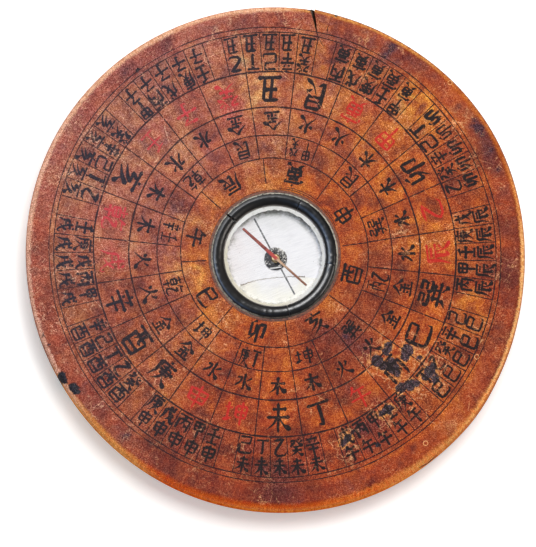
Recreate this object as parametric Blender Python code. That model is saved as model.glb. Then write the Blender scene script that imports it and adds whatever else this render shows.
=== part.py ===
"""Feng shui compass: a hand-turned wooden dial with a glazed needle well in its middle.

Metres, +Z up. The origin is on the underside, at the middle of the board's box.
A heading is an angle in degrees, clockwise from +Y as seen from above.
"""

import math

import bmesh
import bpy

# Board
BOARD_DIAMETER = 0.150
BOARD_THICKNESS = 0.014
FACE_ROUNDING = 0.0024
BASE_ROUNDING = 0.0030
OVAL_SHARE = 0.0107
OVAL_HEADING = 156.6
LOBE_SHARE = 0.0038
LOBE_HEADING = 45.1

# Split in the board's edge
SPLIT_LENGTH = 0.0061
SPLIT_WIDTH = 0.00113
SPLIT_MOUTH_HEADING = 8.3
SPLIT_TIP_HEADING = 10.1

# Needle well
WELL_EAST = -0.00052
WELL_NORTH = 0.00045
BEZEL_SEAT_DEPTH = 0.0030

# Glass, its packing ring and the silvered pan
GLASS_RADIUS = 0.0161
GLASS_THICKNESS = 0.0012
PACKING_OVERLAP = 0.0018
PACKING_THICKNESS = 0.0008
PAN_HEIGHT = 0.0030
PAN_RIM_WIDTH = 0.0015
PAN_SLOPE_WIDTH = 0.0019
PAN_FLOOR_THICKNESS = 0.0008

# Bezel, a cracked ring that holds the glass
BEZEL_WALL = 0.0026
BEZEL_LIP_WIDTH = 0.0011
BEZEL_LIP_THICKNESS = 0.0006
BEZEL_BEAD_RADIUS = 0.0016
BEZEL_RISE = 0.0012
BEZEL_CRACK_WIDTH = 0.0003
BEZEL_CRACK_HEADINGS = (26.0, 99.0, 166.0, 311.0)
PUTTY_WIDTH = 0.0004
PUTTY_RISE = 0.0001

# Pivot, placed from the well's axis
PIVOT_EAST = 0.00033
PIVOT_NORTH = -0.00028
PIN_RADIUS = 0.0005
PIN_TIP_RADIUS = 0.00006
PIN_TAPER_LENGTH = 0.0010
PIN_HOLE_DEPTH = 0.0030
COLLAR_RADIUS = 0.0034
COLLAR_THICKNESS = 0.0003

# Needle and its cap
NEEDLE_HEADING = 312.0
NEEDLE_HEADROOM = 0.0006
NEEDLE_SWING_GAP = 0.00067
NEEDLE_ARM_DIFFERENCE = 0.0008
NEEDLE_TIP_WIDTH = 0.0009
NEEDLE_HUB_WIDTH = 0.0015
NEEDLE_HUB_LENGTH = 0.0026
NEEDLE_THICKNESS = 0.0004
CAP_PLAY = 0.0004
CAP_WALL = 0.00045
CAP_HOLLOW_DEPTH = 0.0010
CAP_CROWN_THICKNESS = 0.0003
CAP_CHAMFER = 0.00065

# Clearances
FIT_GAP = 0.0002
RUNNING_GAP = 0.0001
OVERRUN = 0.0020

# Fineness of the round shapes
BOARD_STEPS = 144
RING_STEPS = 96
SMALL_STEPS = 32
CORNER_STEPS = 5
BEAD_STEPS = 6
SHARP_ANGLE = math.radians(35.0)

# Heights in the well, from the bezel's seat down to the wood
FACE_Z = BOARD_THICKNESS
BEZEL_SEAT_Z = FACE_Z - BEZEL_SEAT_DEPTH
PACKING_Z = BEZEL_SEAT_Z - PACKING_THICKNESS
PAN_RIM_Z = PACKING_Z - FIT_GAP
PAN_Z = PAN_RIM_Z - PAN_HEIGHT
PAN_FLOOR_Z = PAN_Z + PAN_FLOOR_THICKNESS
WELL_FLOOR_Z = PAN_Z - FIT_GAP
COLLAR_Z = PAN_FLOOR_Z + FIT_GAP
PIN_Z = WELL_FLOOR_Z - PIN_HOLE_DEPTH + FIT_GAP

# Heights of the glass and the bezel's lip, and of the needle that hangs under the glass
BEZEL_Z = BEZEL_SEAT_Z + FIT_GAP
GLASS_Z = BEZEL_SEAT_Z + FIT_GAP
LIP_UNDER_Z = GLASS_Z + GLASS_THICKNESS + FIT_GAP
LIP_Z = LIP_UNDER_Z + BEZEL_LIP_THICKNESS
NEEDLE_Z = GLASS_Z - NEEDLE_HEADROOM - NEEDLE_THICKNESS
CAP_TOP_Z = NEEDLE_Z - RUNNING_GAP
CAP_HOLLOW_TOP_Z = CAP_TOP_Z - CAP_CROWN_THICKNESS
PIN_TIP_Z = CAP_HOLLOW_TOP_Z - RUNNING_GAP

# Radii in the well, from the glass outwards and inwards
REBATE_RADIUS = GLASS_RADIUS + FIT_GAP
BEZEL_RADIUS = REBATE_RADIUS + BEZEL_WALL
BEZEL_OPENING_RADIUS = GLASS_RADIUS - BEZEL_LIP_WIDTH
PUTTY_INNER_RADIUS = BEZEL_RADIUS + FIT_GAP
PUTTY_RADIUS = PUTTY_INNER_RADIUS + PUTTY_WIDTH
WELL_MOUTH_RADIUS = PUTTY_RADIUS + FIT_GAP
PAN_RADIUS = REBATE_RADIUS + FIT_GAP
WELL_BORE_RADIUS = PAN_RADIUS + FIT_GAP
PAN_MOUTH_RADIUS = PAN_RADIUS - PAN_RIM_WIDTH
PAN_FLOOR_RADIUS = PAN_MOUTH_RADIUS - PAN_SLOPE_WIDTH
PACKING_INNER_RADIUS = GLASS_RADIUS - PACKING_OVERLAP

# Radii and lengths about the pivot
PIN_HOLE_RADIUS = PIN_RADIUS + FIT_GAP
CAP_HOLLOW_RADIUS = PIN_RADIUS + CAP_PLAY
CAP_RADIUS = CAP_HOLLOW_RADIUS + CAP_WALL
CAP_FLAT_RADIUS = CAP_RADIUS - CAP_CHAMFER
PIVOT_THROW = math.hypot(PIVOT_EAST, PIVOT_NORTH)
NEEDLE_RED_ARM = PACKING_INNER_RADIUS - PIVOT_THROW - NEEDLE_SWING_GAP
NEEDLE_BARE_ARM = NEEDLE_RED_ARM - NEEDLE_ARM_DIFFERENCE


def clear_scene():
    for thing in list(bpy.data.objects):
        bpy.data.objects.remove(thing)


def heading_point(heading, radius):
    """East and north of a point at a heading, clockwise from +Y."""
    turn = math.radians(heading)
    return radius * math.sin(turn), radius * math.cos(turn)


def material(name, colour, roughness, metallic=0.0, alpha=1.0):
    made = bpy.data.materials.new(name)
    made.use_nodes = True
    shader = made.node_tree.nodes["Principled BSDF"]
    shader.inputs["Base Color"].default_value = (*colour, 1.0)
    shader.inputs["Roughness"].default_value = roughness
    shader.inputs["Metallic"].default_value = metallic
    shader.inputs["Alpha"].default_value = alpha
    made.diffuse_color = (*colour, alpha)
    return made


def add_object(name, shape, finish, parent=None):
    """Turns a bmesh into a named object with its faces pointing outwards."""
    bmesh.ops.recalc_face_normals(shape, faces=shape.faces)
    mesh = bpy.data.meshes.new(name)
    shape.to_mesh(mesh)
    shape.free()
    mesh.shade_smooth()
    mesh.set_sharp_from_angle(angle=SHARP_ANGLE)
    made = bpy.data.objects.new(name, mesh)
    bpy.context.scene.collection.objects.link(made)
    if finish is not None:
        mesh.materials.append(finish)
    made.parent = parent
    return made


def add_empty(name, east, north, parent=None):
    made = bpy.data.objects.new(name, None)
    made.location = (east, north, 0)
    made.parent = parent
    bpy.context.scene.collection.objects.link(made)
    return made


def cut(target, cutter):
    """Takes the cutter's shape out of the target and hides the cutter."""
    cutter.hide_render = True
    cutter.display_type = "WIRE"
    step = target.modifiers.new("cut_" + cutter.name, "BOOLEAN")
    step.operation = "DIFFERENCE"
    step.solver = "EXACT"
    step.object = cutter


def bridge(shape, lower, upper):
    """Joins two loops of equal length with a belt of quads."""
    count = len(lower)
    for here in range(count):
        after = (here + 1) % count
        shape.faces.new((lower[here], lower[after], upper[after], upper[here]))


def stacked(loops):
    """A solid from closed loops of points, with a cap on the first and on the last."""
    shape = bmesh.new()
    rows = [[shape.verts.new(point) for point in loop] for loop in loops]
    for lower, upper in zip(rows, rows[1:]):
        bridge(shape, lower, upper)
    shape.faces.new(rows[0])
    shape.faces.new(rows[-1])
    return shape


def circle(radius, z, steps):
    """A loop of points about the local Z axis."""
    points = (heading_point(360.0 * step / steps, radius) for step in range(steps))
    return [(east, north, z) for east, north in points]


def turned(outline, steps):
    """A solid of revolution with flat ends, from (radius, z) pairs."""
    return stacked([circle(radius, z, steps) for radius, z in outline])


def swept_section(section, headings, closed):
    """A closed (radius, z) section carried round the local Z axis through some headings."""
    shape = bmesh.new()
    rows = []
    for heading in headings:
        places = [(*heading_point(heading, radius), z) for radius, z in section]
        rows.append([shape.verts.new(place) for place in places])
    for before, after in zip(rows, rows[1:]):
        bridge(shape, before, after)
    if closed:
        bridge(shape, rows[-1], rows[0])
    else:
        shape.faces.new(rows[0])
        shape.faces.new(rows[-1])
    return shape


def full_ring(section, steps):
    """A ring that goes all the way round."""
    return swept_section(section, [360.0 * step / steps for step in range(steps)], True)


def corner(radius, z, rounding, start, end, steps):
    """Points of an arc about (radius, z), from one elevation angle to another."""
    points = []
    for step in range(steps + 1):
        turn = math.radians(start + (end - start) * step / steps)
        points.append((radius + rounding * math.cos(turn), z + rounding * math.sin(turn)))
    return points


def board_radius(heading):
    """The board's radius: a circle, drawn oval along the grain and slightly lobed by hand."""
    oval = OVAL_SHARE * math.cos(math.radians(2 * (heading - OVAL_HEADING)))
    lobe = LOBE_SHARE * math.cos(math.radians(3 * (heading - LOBE_HEADING)))
    return BOARD_DIAMETER / 2 * (1 + oval + lobe)


def board_centre():
    """The shift that puts the middle of the outline's box on the origin."""
    headings = [360.0 * step / BOARD_STEPS for step in range(BOARD_STEPS)]
    points = [heading_point(heading, board_radius(heading)) for heading in headings]
    easts = [point[0] for point in points]
    norths = [point[1] for point in points]
    return -(min(easts) + max(easts)) / 2, -(min(norths) + max(norths)) / 2


def board_loop(inset, z, centre):
    """A loop that follows the board's outline at some distance inside it."""
    points = []
    for step in range(BOARD_STEPS):
        heading = 360.0 * step / BOARD_STEPS
        east, north = heading_point(heading, board_radius(heading) - inset)
        points.append((centre[0] + east, centre[1] + north, z))
    return points


def well_loop(radius, z, well):
    """A round loop about the well's axis, in step with the board's outline."""
    return [(well[0] + x, well[1] + y, z) for x, y, z in circle(radius, z, BOARD_STEPS)]


def board_edge_loops(centre):
    """The rounded edge of the board, from its underside up to its face."""
    lower = corner(-BASE_ROUNDING, BASE_ROUNDING, BASE_ROUNDING, -90, 0, CORNER_STEPS)
    face_arc_z = FACE_Z - FACE_ROUNDING
    upper = corner(-FACE_ROUNDING, face_arc_z, FACE_ROUNDING, 0, 90, CORNER_STEPS)
    return [board_loop(-offset, z, centre) for offset, z in lower + upper]


def add_board(finish, centre, well):
    """The dial board, with its stepped well, the pivot's hole and the split in its edge."""
    loops = board_edge_loops(centre)
    loops.append(well_loop(WELL_MOUTH_RADIUS, FACE_Z, well))
    loops.append(well_loop(WELL_MOUTH_RADIUS, BEZEL_SEAT_Z, well))
    loops.append(well_loop(WELL_BORE_RADIUS, BEZEL_SEAT_Z, well))
    loops.append(well_loop(WELL_BORE_RADIUS, WELL_FLOOR_Z, well))
    board = add_object("board", stacked(loops), finish)
    cut(board, add_pin_hole_cutter(well))
    cut(board, add_split_cutter(centre))
    return board


def add_pin_hole_cutter(well):
    """A round cutter for the hole that the pivot is driven into."""
    bottom = WELL_FLOOR_Z - PIN_HOLE_DEPTH
    outline = [(PIN_HOLE_RADIUS, bottom), (PIN_HOLE_RADIUS, WELL_FLOOR_Z + OVERRUN)]
    cutter = add_object("cutter_pin_hole", turned(outline, SMALL_STEPS), None)
    cutter.location = (well[0] + PIVOT_EAST, well[1] + PIVOT_NORTH, 0)
    return cutter


def add_split_cutter(centre):
    """A wedge, wide at the board's edge and closing to a line inside it."""
    edge = board_radius(SPLIT_MOUTH_HEADING)
    spread = math.degrees(SPLIT_WIDTH / 2 / edge)
    reach = edge + OVERRUN
    widened = spread * (SPLIT_LENGTH + OVERRUN) / SPLIT_LENGTH
    corners = [
        heading_point(SPLIT_TIP_HEADING, edge - SPLIT_LENGTH),
        heading_point(SPLIT_MOUTH_HEADING - widened, reach),
        heading_point(SPLIT_MOUTH_HEADING + widened, reach),
    ]
    plan = [(centre[0] + east, centre[1] + north) for east, north in corners]
    heights = (-OVERRUN, FACE_Z + OVERRUN)
    loops = [[(east, north, z) for east, north in plan] for z in heights]
    return add_object("cutter_split", stacked(loops), None)


def bezel_section():
    """The bezel's section: a half round from its wall to its lip, and a rebate for the glass."""
    crest_radius = BEZEL_RADIUS - BEZEL_BEAD_RADIUS
    crest_z = FACE_Z + BEZEL_RISE
    slope_width = crest_radius - BEZEL_OPENING_RADIUS
    slope_depth = crest_z - LIP_Z
    section = [(BEZEL_RADIUS, BEZEL_Z)]
    bead_z = crest_z - BEZEL_BEAD_RADIUS
    section += corner(crest_radius, bead_z, BEZEL_BEAD_RADIUS, 0, 90, BEAD_STEPS)
    for step in range(1, BEAD_STEPS + 1):
        turn = math.radians(90.0 * step / BEAD_STEPS)
        inward = slope_width * math.sin(turn)
        section.append((crest_radius - inward, crest_z - slope_depth * (1 - math.cos(turn))))
    section.append((BEZEL_OPENING_RADIUS, LIP_UNDER_Z))
    section.append((REBATE_RADIUS, LIP_UNDER_Z))
    section.append((REBATE_RADIUS, BEZEL_Z))
    return section


def add_bezel(finish, well):
    """The bezel ring in the arcs that its cracks leave."""
    section = bezel_section()
    half_crack = math.degrees(BEZEL_CRACK_WIDTH / 2 / BEZEL_OPENING_RADIUS)
    ends = BEZEL_CRACK_HEADINGS[1:] + (BEZEL_CRACK_HEADINGS[0] + 360.0,)
    for number, (start, end) in enumerate(zip(BEZEL_CRACK_HEADINGS, ends), 1):
        first = start + half_crack
        last = end - half_crack
        steps = round(RING_STEPS * (last - first) / 360.0)
        headings = [first + (last - first) * step / steps for step in range(steps + 1)]
        arc = swept_section(section, headings, False)
        add_object("bezel_arc_%d" % number, arc, finish, well)


def add_putty(finish, well):
    """The bead of putty that beds the bezel in the wood."""
    high = FACE_Z + PUTTY_RISE
    inner = PUTTY_INNER_RADIUS
    outer = PUTTY_RADIUS
    section = [(outer, BEZEL_Z), (outer, high), (inner, high), (inner, BEZEL_Z)]
    add_object("bezel_putty", full_ring(section, RING_STEPS), finish, well)


def add_glass(finish, well):
    """The glass disc over the needle."""
    outline = [(GLASS_RADIUS, GLASS_Z), (GLASS_RADIUS, GLASS_Z + GLASS_THICKNESS)]
    add_object("glass_cover", turned(outline, RING_STEPS), finish, well)


def add_packing(finish, well):
    """The packing ring between the pan's rim and the glass."""
    high = BEZEL_SEAT_Z
    inner = PACKING_INNER_RADIUS
    section = [(PAN_RADIUS, PACKING_Z), (PAN_RADIUS, high), (inner, high), (inner, PACKING_Z)]
    add_object("packing_ring", full_ring(section, RING_STEPS), finish, well)


def add_pan(finish, well):
    """The silvered pan: a flat floor with a sloping side and a hole for the pivot."""
    outline = [
        (PAN_RADIUS, PAN_Z),
        (PAN_RADIUS, PAN_RIM_Z),
        (PAN_MOUTH_RADIUS, PAN_RIM_Z),
        (PAN_FLOOR_RADIUS, PAN_FLOOR_Z),
    ]
    pan = add_object("silvered_pan", turned(outline, RING_STEPS), finish, well)
    low = PAN_Z - OVERRUN
    high = PAN_FLOOR_Z + OVERRUN
    outline = [(PIN_HOLE_RADIUS, low), (PIN_HOLE_RADIUS, high)]
    cutter = add_object("cutter_pan_hole", turned(outline, SMALL_STEPS), None, well)
    cutter.location = (PIVOT_EAST, PIVOT_NORTH, 0)
    cut(pan, cutter)


def add_pivot(steel, black_paint, pivot):
    """The pointed pin that the needle turns on, and the black collar round its foot."""
    outline = [
        (PIN_RADIUS, PIN_Z),
        (PIN_RADIUS, PIN_TIP_Z - PIN_TAPER_LENGTH),
        (PIN_TIP_RADIUS, PIN_TIP_Z),
    ]
    add_object("pivot_pin", turned(outline, SMALL_STEPS), steel, pivot)
    high = COLLAR_Z + COLLAR_THICKNESS
    outer = COLLAR_RADIUS
    inner = PIN_HOLE_RADIUS
    section = [(outer, COLLAR_Z), (outer, high), (inner, high), (inner, COLLAR_Z)]
    add_object("pivot_collar", full_ring(section, SMALL_STEPS), black_paint, pivot)


def add_needle_cap(brass, pivot):
    """The brass cap: a small thimble whose hollow sits on the pin's point."""
    skirt_z = CAP_HOLLOW_TOP_Z - CAP_HOLLOW_DEPTH
    shoulder_z = CAP_TOP_Z - CAP_CROWN_THICKNESS
    outline = [
        (PIN_TIP_RADIUS, CAP_HOLLOW_TOP_Z),
        (CAP_HOLLOW_RADIUS, skirt_z),
        (CAP_RADIUS, skirt_z),
        (CAP_RADIUS, shoulder_z),
        (CAP_FLAT_RADIUS, CAP_TOP_Z),
    ]
    add_object("needle_cap", turned(outline, SMALL_STEPS), brass, pivot)


def add_needle(red, pivot):
    """The needle: a flat bar across the cap, widest at its middle."""
    tip = NEEDLE_TIP_WIDTH / 2
    hub = NEEDLE_HUB_WIDTH / 2
    half_hub = NEEDLE_HUB_LENGTH / 2
    plan = [
        (-tip, -NEEDLE_BARE_ARM),
        (tip, -NEEDLE_BARE_ARM),
        (hub, -half_hub),
        (hub, half_hub),
        (tip, NEEDLE_RED_ARM),
        (-tip, NEEDLE_RED_ARM),
        (-hub, half_hub),
        (-hub, -half_hub),
    ]
    heights = (NEEDLE_Z, NEEDLE_Z + NEEDLE_THICKNESS)
    bar = stacked([[(east, north, z) for east, north in plan] for z in heights])
    needle = add_object("needle_bar", bar, red, pivot)
    needle.rotation_euler = (0, 0, -math.radians(NEEDLE_HEADING))


def build():
    clear_scene()
    wood = material("lacquered_wood", (0.34, 0.12, 0.045), 0.42)
    black = material("black_lacquer", (0.018, 0.019, 0.022), 0.22)
    black_paint = material("black_paint", (0.03, 0.03, 0.035), 0.6)
    putty = material("putty", (0.36, 0.35, 0.27), 0.8)
    glass = material("glass", (0.95, 0.96, 0.96), 0.05, alpha=0.35)
    paper = material("packing_paper", (0.72, 0.70, 0.60), 0.85)
    silver = material("silvering", (0.78, 0.79, 0.81), 0.4, metallic=0.3)
    steel = material("steel", (0.45, 0.45, 0.46), 0.35, metallic=1.0)
    brass = material("brass", (0.42, 0.29, 0.13), 0.4, metallic=1.0)
    red = material("red_needle", (0.42, 0.07, 0.06), 0.5)

    centre = board_centre()
    well_place = (centre[0] + WELL_EAST, centre[1] + WELL_NORTH)
    well = add_empty("well_axis", *well_place)
    pivot = add_empty("needle_axis", PIVOT_EAST, PIVOT_NORTH, well)

    add_board(wood, centre, well_place)
    add_bezel(black, well)
    add_putty(putty, well)
    add_glass(glass, well)
    add_packing(paper, well)
    add_pan(silver, well)
    add_pivot(steel, black_paint, pivot)
    add_needle_cap(brass, pivot)
    add_needle(red, pivot)


build()
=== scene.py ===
# %% [markdown]
# # A feng shui compass and its finish
#
# The object is a round wooden dial, lacquered orange-brown and inked by hand, with a small dry
# compass under glass in its middle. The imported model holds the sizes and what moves. This lesson
# gives each visible piece its fine shape and its finish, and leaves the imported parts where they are.

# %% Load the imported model
import math

import bpy
import numpy as np
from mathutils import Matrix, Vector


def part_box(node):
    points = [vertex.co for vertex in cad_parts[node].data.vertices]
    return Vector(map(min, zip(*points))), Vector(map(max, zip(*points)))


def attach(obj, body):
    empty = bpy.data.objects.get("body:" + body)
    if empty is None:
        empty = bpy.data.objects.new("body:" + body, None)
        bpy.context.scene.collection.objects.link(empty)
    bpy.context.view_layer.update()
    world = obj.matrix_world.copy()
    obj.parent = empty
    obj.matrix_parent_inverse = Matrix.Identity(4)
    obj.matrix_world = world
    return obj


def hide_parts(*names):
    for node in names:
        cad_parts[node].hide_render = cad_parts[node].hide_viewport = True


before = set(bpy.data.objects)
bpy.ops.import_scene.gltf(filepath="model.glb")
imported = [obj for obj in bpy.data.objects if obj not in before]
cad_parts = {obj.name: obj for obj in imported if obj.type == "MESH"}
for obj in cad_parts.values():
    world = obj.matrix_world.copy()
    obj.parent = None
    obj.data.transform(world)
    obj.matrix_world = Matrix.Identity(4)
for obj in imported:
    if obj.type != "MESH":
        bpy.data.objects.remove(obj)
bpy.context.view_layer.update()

MM = 0.001

# %% [markdown]
# ## Places on the dial
#
# A heading is an angle in degrees, clockwise from +Y as seen from above, as on a compass. The
# board's outline is a circle that is a little oval, because wood shrinks across its grain more
# than along it. Rubbing has flattened it a little more in places, and at the split in its edge
# one lip stands out.

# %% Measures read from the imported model
def middle(node):
    low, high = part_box(node)
    return np.array((low + high) / 2)


def half_width(node):
    low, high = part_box(node)
    return (high.x - low.x) / 2


def levels(node):
    """The heights of a node's underside and of its top."""
    return [corner.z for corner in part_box(node)]


FACE_Z = levels("board")[1]
WELL = middle("glass_cover")[:2]
PIVOT = middle("pivot_pin")[:2]
print("face at", round(FACE_Z, 4), "well at", WELL.round(5), "pivot at", PIVOT.round(5))

# %% The board's outline
BOARD_RADIUS = 75 * MM
OVAL_SHARE = 0.0107
OVAL_HEADING = 156.6
LOBE_SHARE = 0.0038
LOBE_HEADING = 45.1
LACQUER_LOSS = 0.03 * MM
WEAR = (   # heading, half width and depth in millimetres: flats, and bulges where less was lost
    (27.0, 13.0, 0.22), (95.0, 12.0, 0.24), (174.0, 24.0, 0.30),
    (61.0, 15.0, -0.34), (128.0, 8.5, -0.34), (253.0, 9.0, -0.16),
)
SPLIT_HEADING = 8.2
SPLIT_LIP = 0.50 * MM
LIP_REACH = 2.6


def heading_vector(heading):
    """East and north of a unit step at a heading: its sine and its cosine."""
    turn = np.radians(heading)
    return np.stack([np.sin(turn), np.cos(turn)], axis=-1)


def turned_radius(heading):
    """The mean radius times 1, plus an oval wave of two lobes and a hand-turned wave of three."""
    oval = OVAL_SHARE * np.cos(np.radians(2 * (heading - OVAL_HEADING)))
    lobe = LOBE_SHARE * np.cos(np.radians(3 * (heading - LOBE_HEADING)))
    return BOARD_RADIUS * (1 + oval + lobe)


def worn_radius(heading):
    """The turned radius, less a thin layer and soft bells, plus a lip that fades past the split."""
    loss = LACQUER_LOSS
    for middle_heading, half, depth in WEAR:
        apart = (heading - middle_heading + 180) % 360 - 180
        loss = loss + depth * MM * np.exp(-(apart / half) ** 2)
    lip = SPLIT_LIP * np.exp(-((heading - SPLIT_HEADING) % 360) / LIP_REACH)
    return turned_radius(heading) - loss + lip


def outline_middle():
    """The shift that puts the middle of the outline's box on the origin."""
    heading = np.arange(144) * 2.5
    plan = heading_vector(heading) * turned_radius(heading)[:, None]
    return -(plan.min(axis=0) + plan.max(axis=0)) / 2


OUTLINE = outline_middle()
print("outline's middle:", OUTLINE.round(6))

# %% [markdown]
# ## The camera
#
# The photograph looks almost straight down, from a little towards the near edge, so that a thin
# strip of the board's side shows there. A long lens far away keeps the circle round. Marks of wear
# are placed by their pixel in the photograph: the ray through the pixel is followed down to the
# dial's face, or to a lower floor.

# %% Camera
FRAME_PIXELS = (536, 547)
CAMERA_DISTANCE = 3.0
CAMERA_TILT = math.radians(6.2)
CAMERA_AIM = (-2.28 * MM, -4.68 * MM)
PIXEL = 0.2975 * MM
SENSOR = 36.0
LOOK_BACK = np.array([0, -math.sin(CAMERA_TILT), math.cos(CAMERA_TILT)])
LOOK_UP = np.array([0, math.cos(CAMERA_TILT), math.sin(CAMERA_TILT)])
LOOK_FROM = np.array([*CAMERA_AIM, FACE_Z]) + LOOK_BACK * CAMERA_DISTANCE


def add_camera():
    lens = bpy.data.cameras.new("camera")
    lens.sensor_width = SENSOR
    lens.lens = SENSOR * CAMERA_DISTANCE / (FRAME_PIXELS[1] * PIXEL)
    camera = bpy.data.objects.new("camera", lens)
    camera.location = LOOK_FROM
    camera.rotation_euler = (CAMERA_TILT, 0, 0)
    bpy.context.scene.collection.objects.link(camera)
    bpy.context.scene.camera = camera
    return camera


def photo_place(column, row, height=FACE_Z):
    """East and north where the ray through a pixel of the photograph meets a level plane."""
    aside = (np.asarray(column, float) - FRAME_PIXELS[0] / 2) * PIXEL
    rise = (FRAME_PIXELS[1] / 2 - np.asarray(row, float)) * PIXEL
    ray = np.stack([aside, rise * LOOK_UP[1], rise * LOOK_UP[2]], axis=-1) - LOOK_BACK * CAMERA_DISTANCE
    reach = (height - LOOK_FROM[2]) / ray[..., 2]
    return (LOOK_FROM + ray * reach[..., None])[..., :2]


camera = add_camera()
print("lens:", round(camera.data.lens, 1), "mm; picture's middle at", photo_place(268, 273.5).round(5))

# %% [markdown]
# ## Writing a finish as sums
#
# A material is a net of nodes. Written node by node it is hard to read, so one small class wraps
# an output and lets sums be written as in plain Python: each sign adds its Math node. Everything
# else, such as a noise or a colour ramp, comes from one method that takes the node's type, its
# settings and the values of its sockets.

# %% A value in a material
class Value:
    """One output of a node, on which sums can be written."""

    def __init__(self, finish, socket):
        self.finish = finish
        self.socket = socket

    def math(self, operation, *terms):
        return self.finish.node("ShaderNodeMath", {"operation": operation}, dict(enumerate(terms)))

    def __add__(self, other):
        return self.math("ADD", self, other)

    def __sub__(self, other):
        return self.math("SUBTRACT", self, other)

    def __rsub__(self, other):
        return self.math("SUBTRACT", other, self)

    def __mul__(self, other):
        return self.math("MULTIPLY", self, other)

    def __abs__(self):
        return self.math("ABSOLUTE", self)

    __radd__ = __add__
    __rmul__ = __mul__

    def rise(self, low, high):
        """A smooth step from 0 to 1 as the value goes from low to high."""
        settings = {"interpolation_type": "SMOOTHSTEP"}
        ends = {"Value": self, "From Min": low, "From Max": high}
        return self.finish.node("ShaderNodeMapRange", settings, ends)

    def fall(self, low, high):
        return 1 - self.rise(low, high)

    def output(self, name):
        """Another output of the same node."""
        return Value(self.finish, self.socket.node.outputs[name])

    def part(self, name):
        """The X, Y or Z of a vector."""
        return self.finish.node("ShaderNodeSeparateXYZ", {}, {0: self}, name)


# %% A finish, and the nodes that it is made of
MIX_FACTOR, MIX_A, MIX_B, MIX_RESULT = 0, 6, 7, 2


class Finish:
    """A material under work. Lengths in it are in millimetres, read from Object coordinates."""

    def __init__(self, name):
        self.material = bpy.data.materials.new(name)
        self.material.use_nodes = True
        self.tree = self.material.node_tree
        self.tree.nodes.clear()
        here = self.node("ShaderNodeTexCoord", out="Object")
        self.place = self.vector("SCALE", here, Scale=1 / MM)

    def node(self, kind, settings=None, sockets=None, out=0):
        made = self.tree.nodes.new(kind)
        for name, setting in (settings or {}).items():
            if name == "stops":
                self.set_stops(made.color_ramp, setting)
            else:
                setattr(made, name, setting)
        for key, value in (sockets or {}).items():
            if isinstance(value, Value):
                self.tree.links.new(value.socket, made.inputs[key])
            elif made.inputs[key].type == "RGBA":
                made.inputs[key].default_value = (*value, 1.0)
            else:
                made.inputs[key].default_value = value
        return Value(self, made.outputs[out]) if made.outputs else None

    def set_stops(self, ramp, stops):
        """Colours along a ramp: the first two stops are there, and the others are added."""
        while len(ramp.elements) < len(stops):
            ramp.elements.new(0.5)
        for element, (position, colour) in zip(ramp.elements, stops):
            element.position = position
            element.color = (*colour, 1.0)

    def vector(self, operation, first, second=None, **named):
        sockets = {0: first, **named}
        if second is not None:
            sockets[1] = second
        out = "Value" if operation in ("LENGTH", "DISTANCE", "DOT_PRODUCT") else "Vector"
        return self.node("ShaderNodeVectorMath", {"operation": operation}, sockets, out)

    def about(self, centre):
        """East and north of an upright axis, and the distance from it, in millimetres."""
        plan = self.vector("SUBTRACT", self.vector("MULTIPLY", self.place, (1, 1, 0)), (*centre / MM, 0))
        return plan.part("X"), plan.part("Y"), self.vector("LENGTH", plan)

    def mix(self, factor, first, second, blend="MIX"):
        """Goes from the first colour to the second as the factor goes from 0 to 1."""
        settings = {"data_type": "RGBA", "blend_type": blend, "clamp_factor": True}
        sockets = {MIX_FACTOR: factor, MIX_A: first, MIX_B: second}
        return self.node("ShaderNodeMix", settings, sockets, MIX_RESULT)

    def layers(self, colour, *coats):
        """A colour under coats of others: each is laid over what is there, by its own factor."""
        for factor, coat in coats:
            colour = self.mix(factor, colour, coat)
        return colour

    def ramp(self, value, *stops):
        return self.node("ShaderNodeValToRGB", {"stops": stops}, {"Fac": value}, "Color")

    def noise(self, size, detail=3.0, roughness=0.6, distortion=0.0, place=None):
        """Cloudy noise about 0, mostly within 1 either way, with clouds of that size."""
        sockets = {"Vector": place or self.place, "Scale": 1 / size, "Detail": detail}
        sockets.update({"Roughness": roughness, "Distortion": distortion})
        return (self.node("ShaderNodeTexNoise", {}, sockets, 0) - 0.5) * 4

    def cells(self, size, feature, place=None):
        """Distances in a pattern of cells of that size."""
        sockets = {"Vector": place or self.place, "Scale": 1 / size}
        return self.node("ShaderNodeTexVoronoi", {"feature": feature}, sockets, "Distance")

    def attribute(self, name):
        return self.node("ShaderNodeAttribute", {"attribute_name": name}, {}, "Fac")

    def bump(self, height, distance):
        """A normal bent by a height, whose unit stands for a distance in millimetres."""
        return self.node("ShaderNodeBump", {}, {"Height": height, "Distance": distance * MM})

    def surface(self, colour, roughness, **others):
        """The Principled shader. The names of other sockets have underscores for spaces."""
        sockets = {name.replace("_", " "): value for name, value in others.items()}
        sockets.update({"Base Color": colour, "Roughness": roughness})
        return self.node("ShaderNodeBsdfPrincipled", {}, sockets)

    def done(self, shader):
        self.node("ShaderNodeOutputMaterial", {}, {"Surface": shader})
        return self.material


print("a finish is ready to be written")

# %% [markdown]
# ## The studio
#
# The object lies on a white table under a broad lamp almost overhead, a little to the far right, so
# that its soft shadow falls close by, to the left and towards the viewer. The lamp is polarised,
# as for copy work: it lights things but isn't mirrored in them. Dim panels at the sides do the
# opposite: they only draw the long highlights on the black ring. The floor adds a little light of
# its own, but only for rays from the camera and from mirrors and glass, so that it shows white and
# still holds the shadow.

# %% Floor
FLOOR_SIDE = 6.0
FLOOR_DROP = 0.1 * MM
FLOOR_COLOUR = 0.88
FLOOR_GLOW = 0.34


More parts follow.
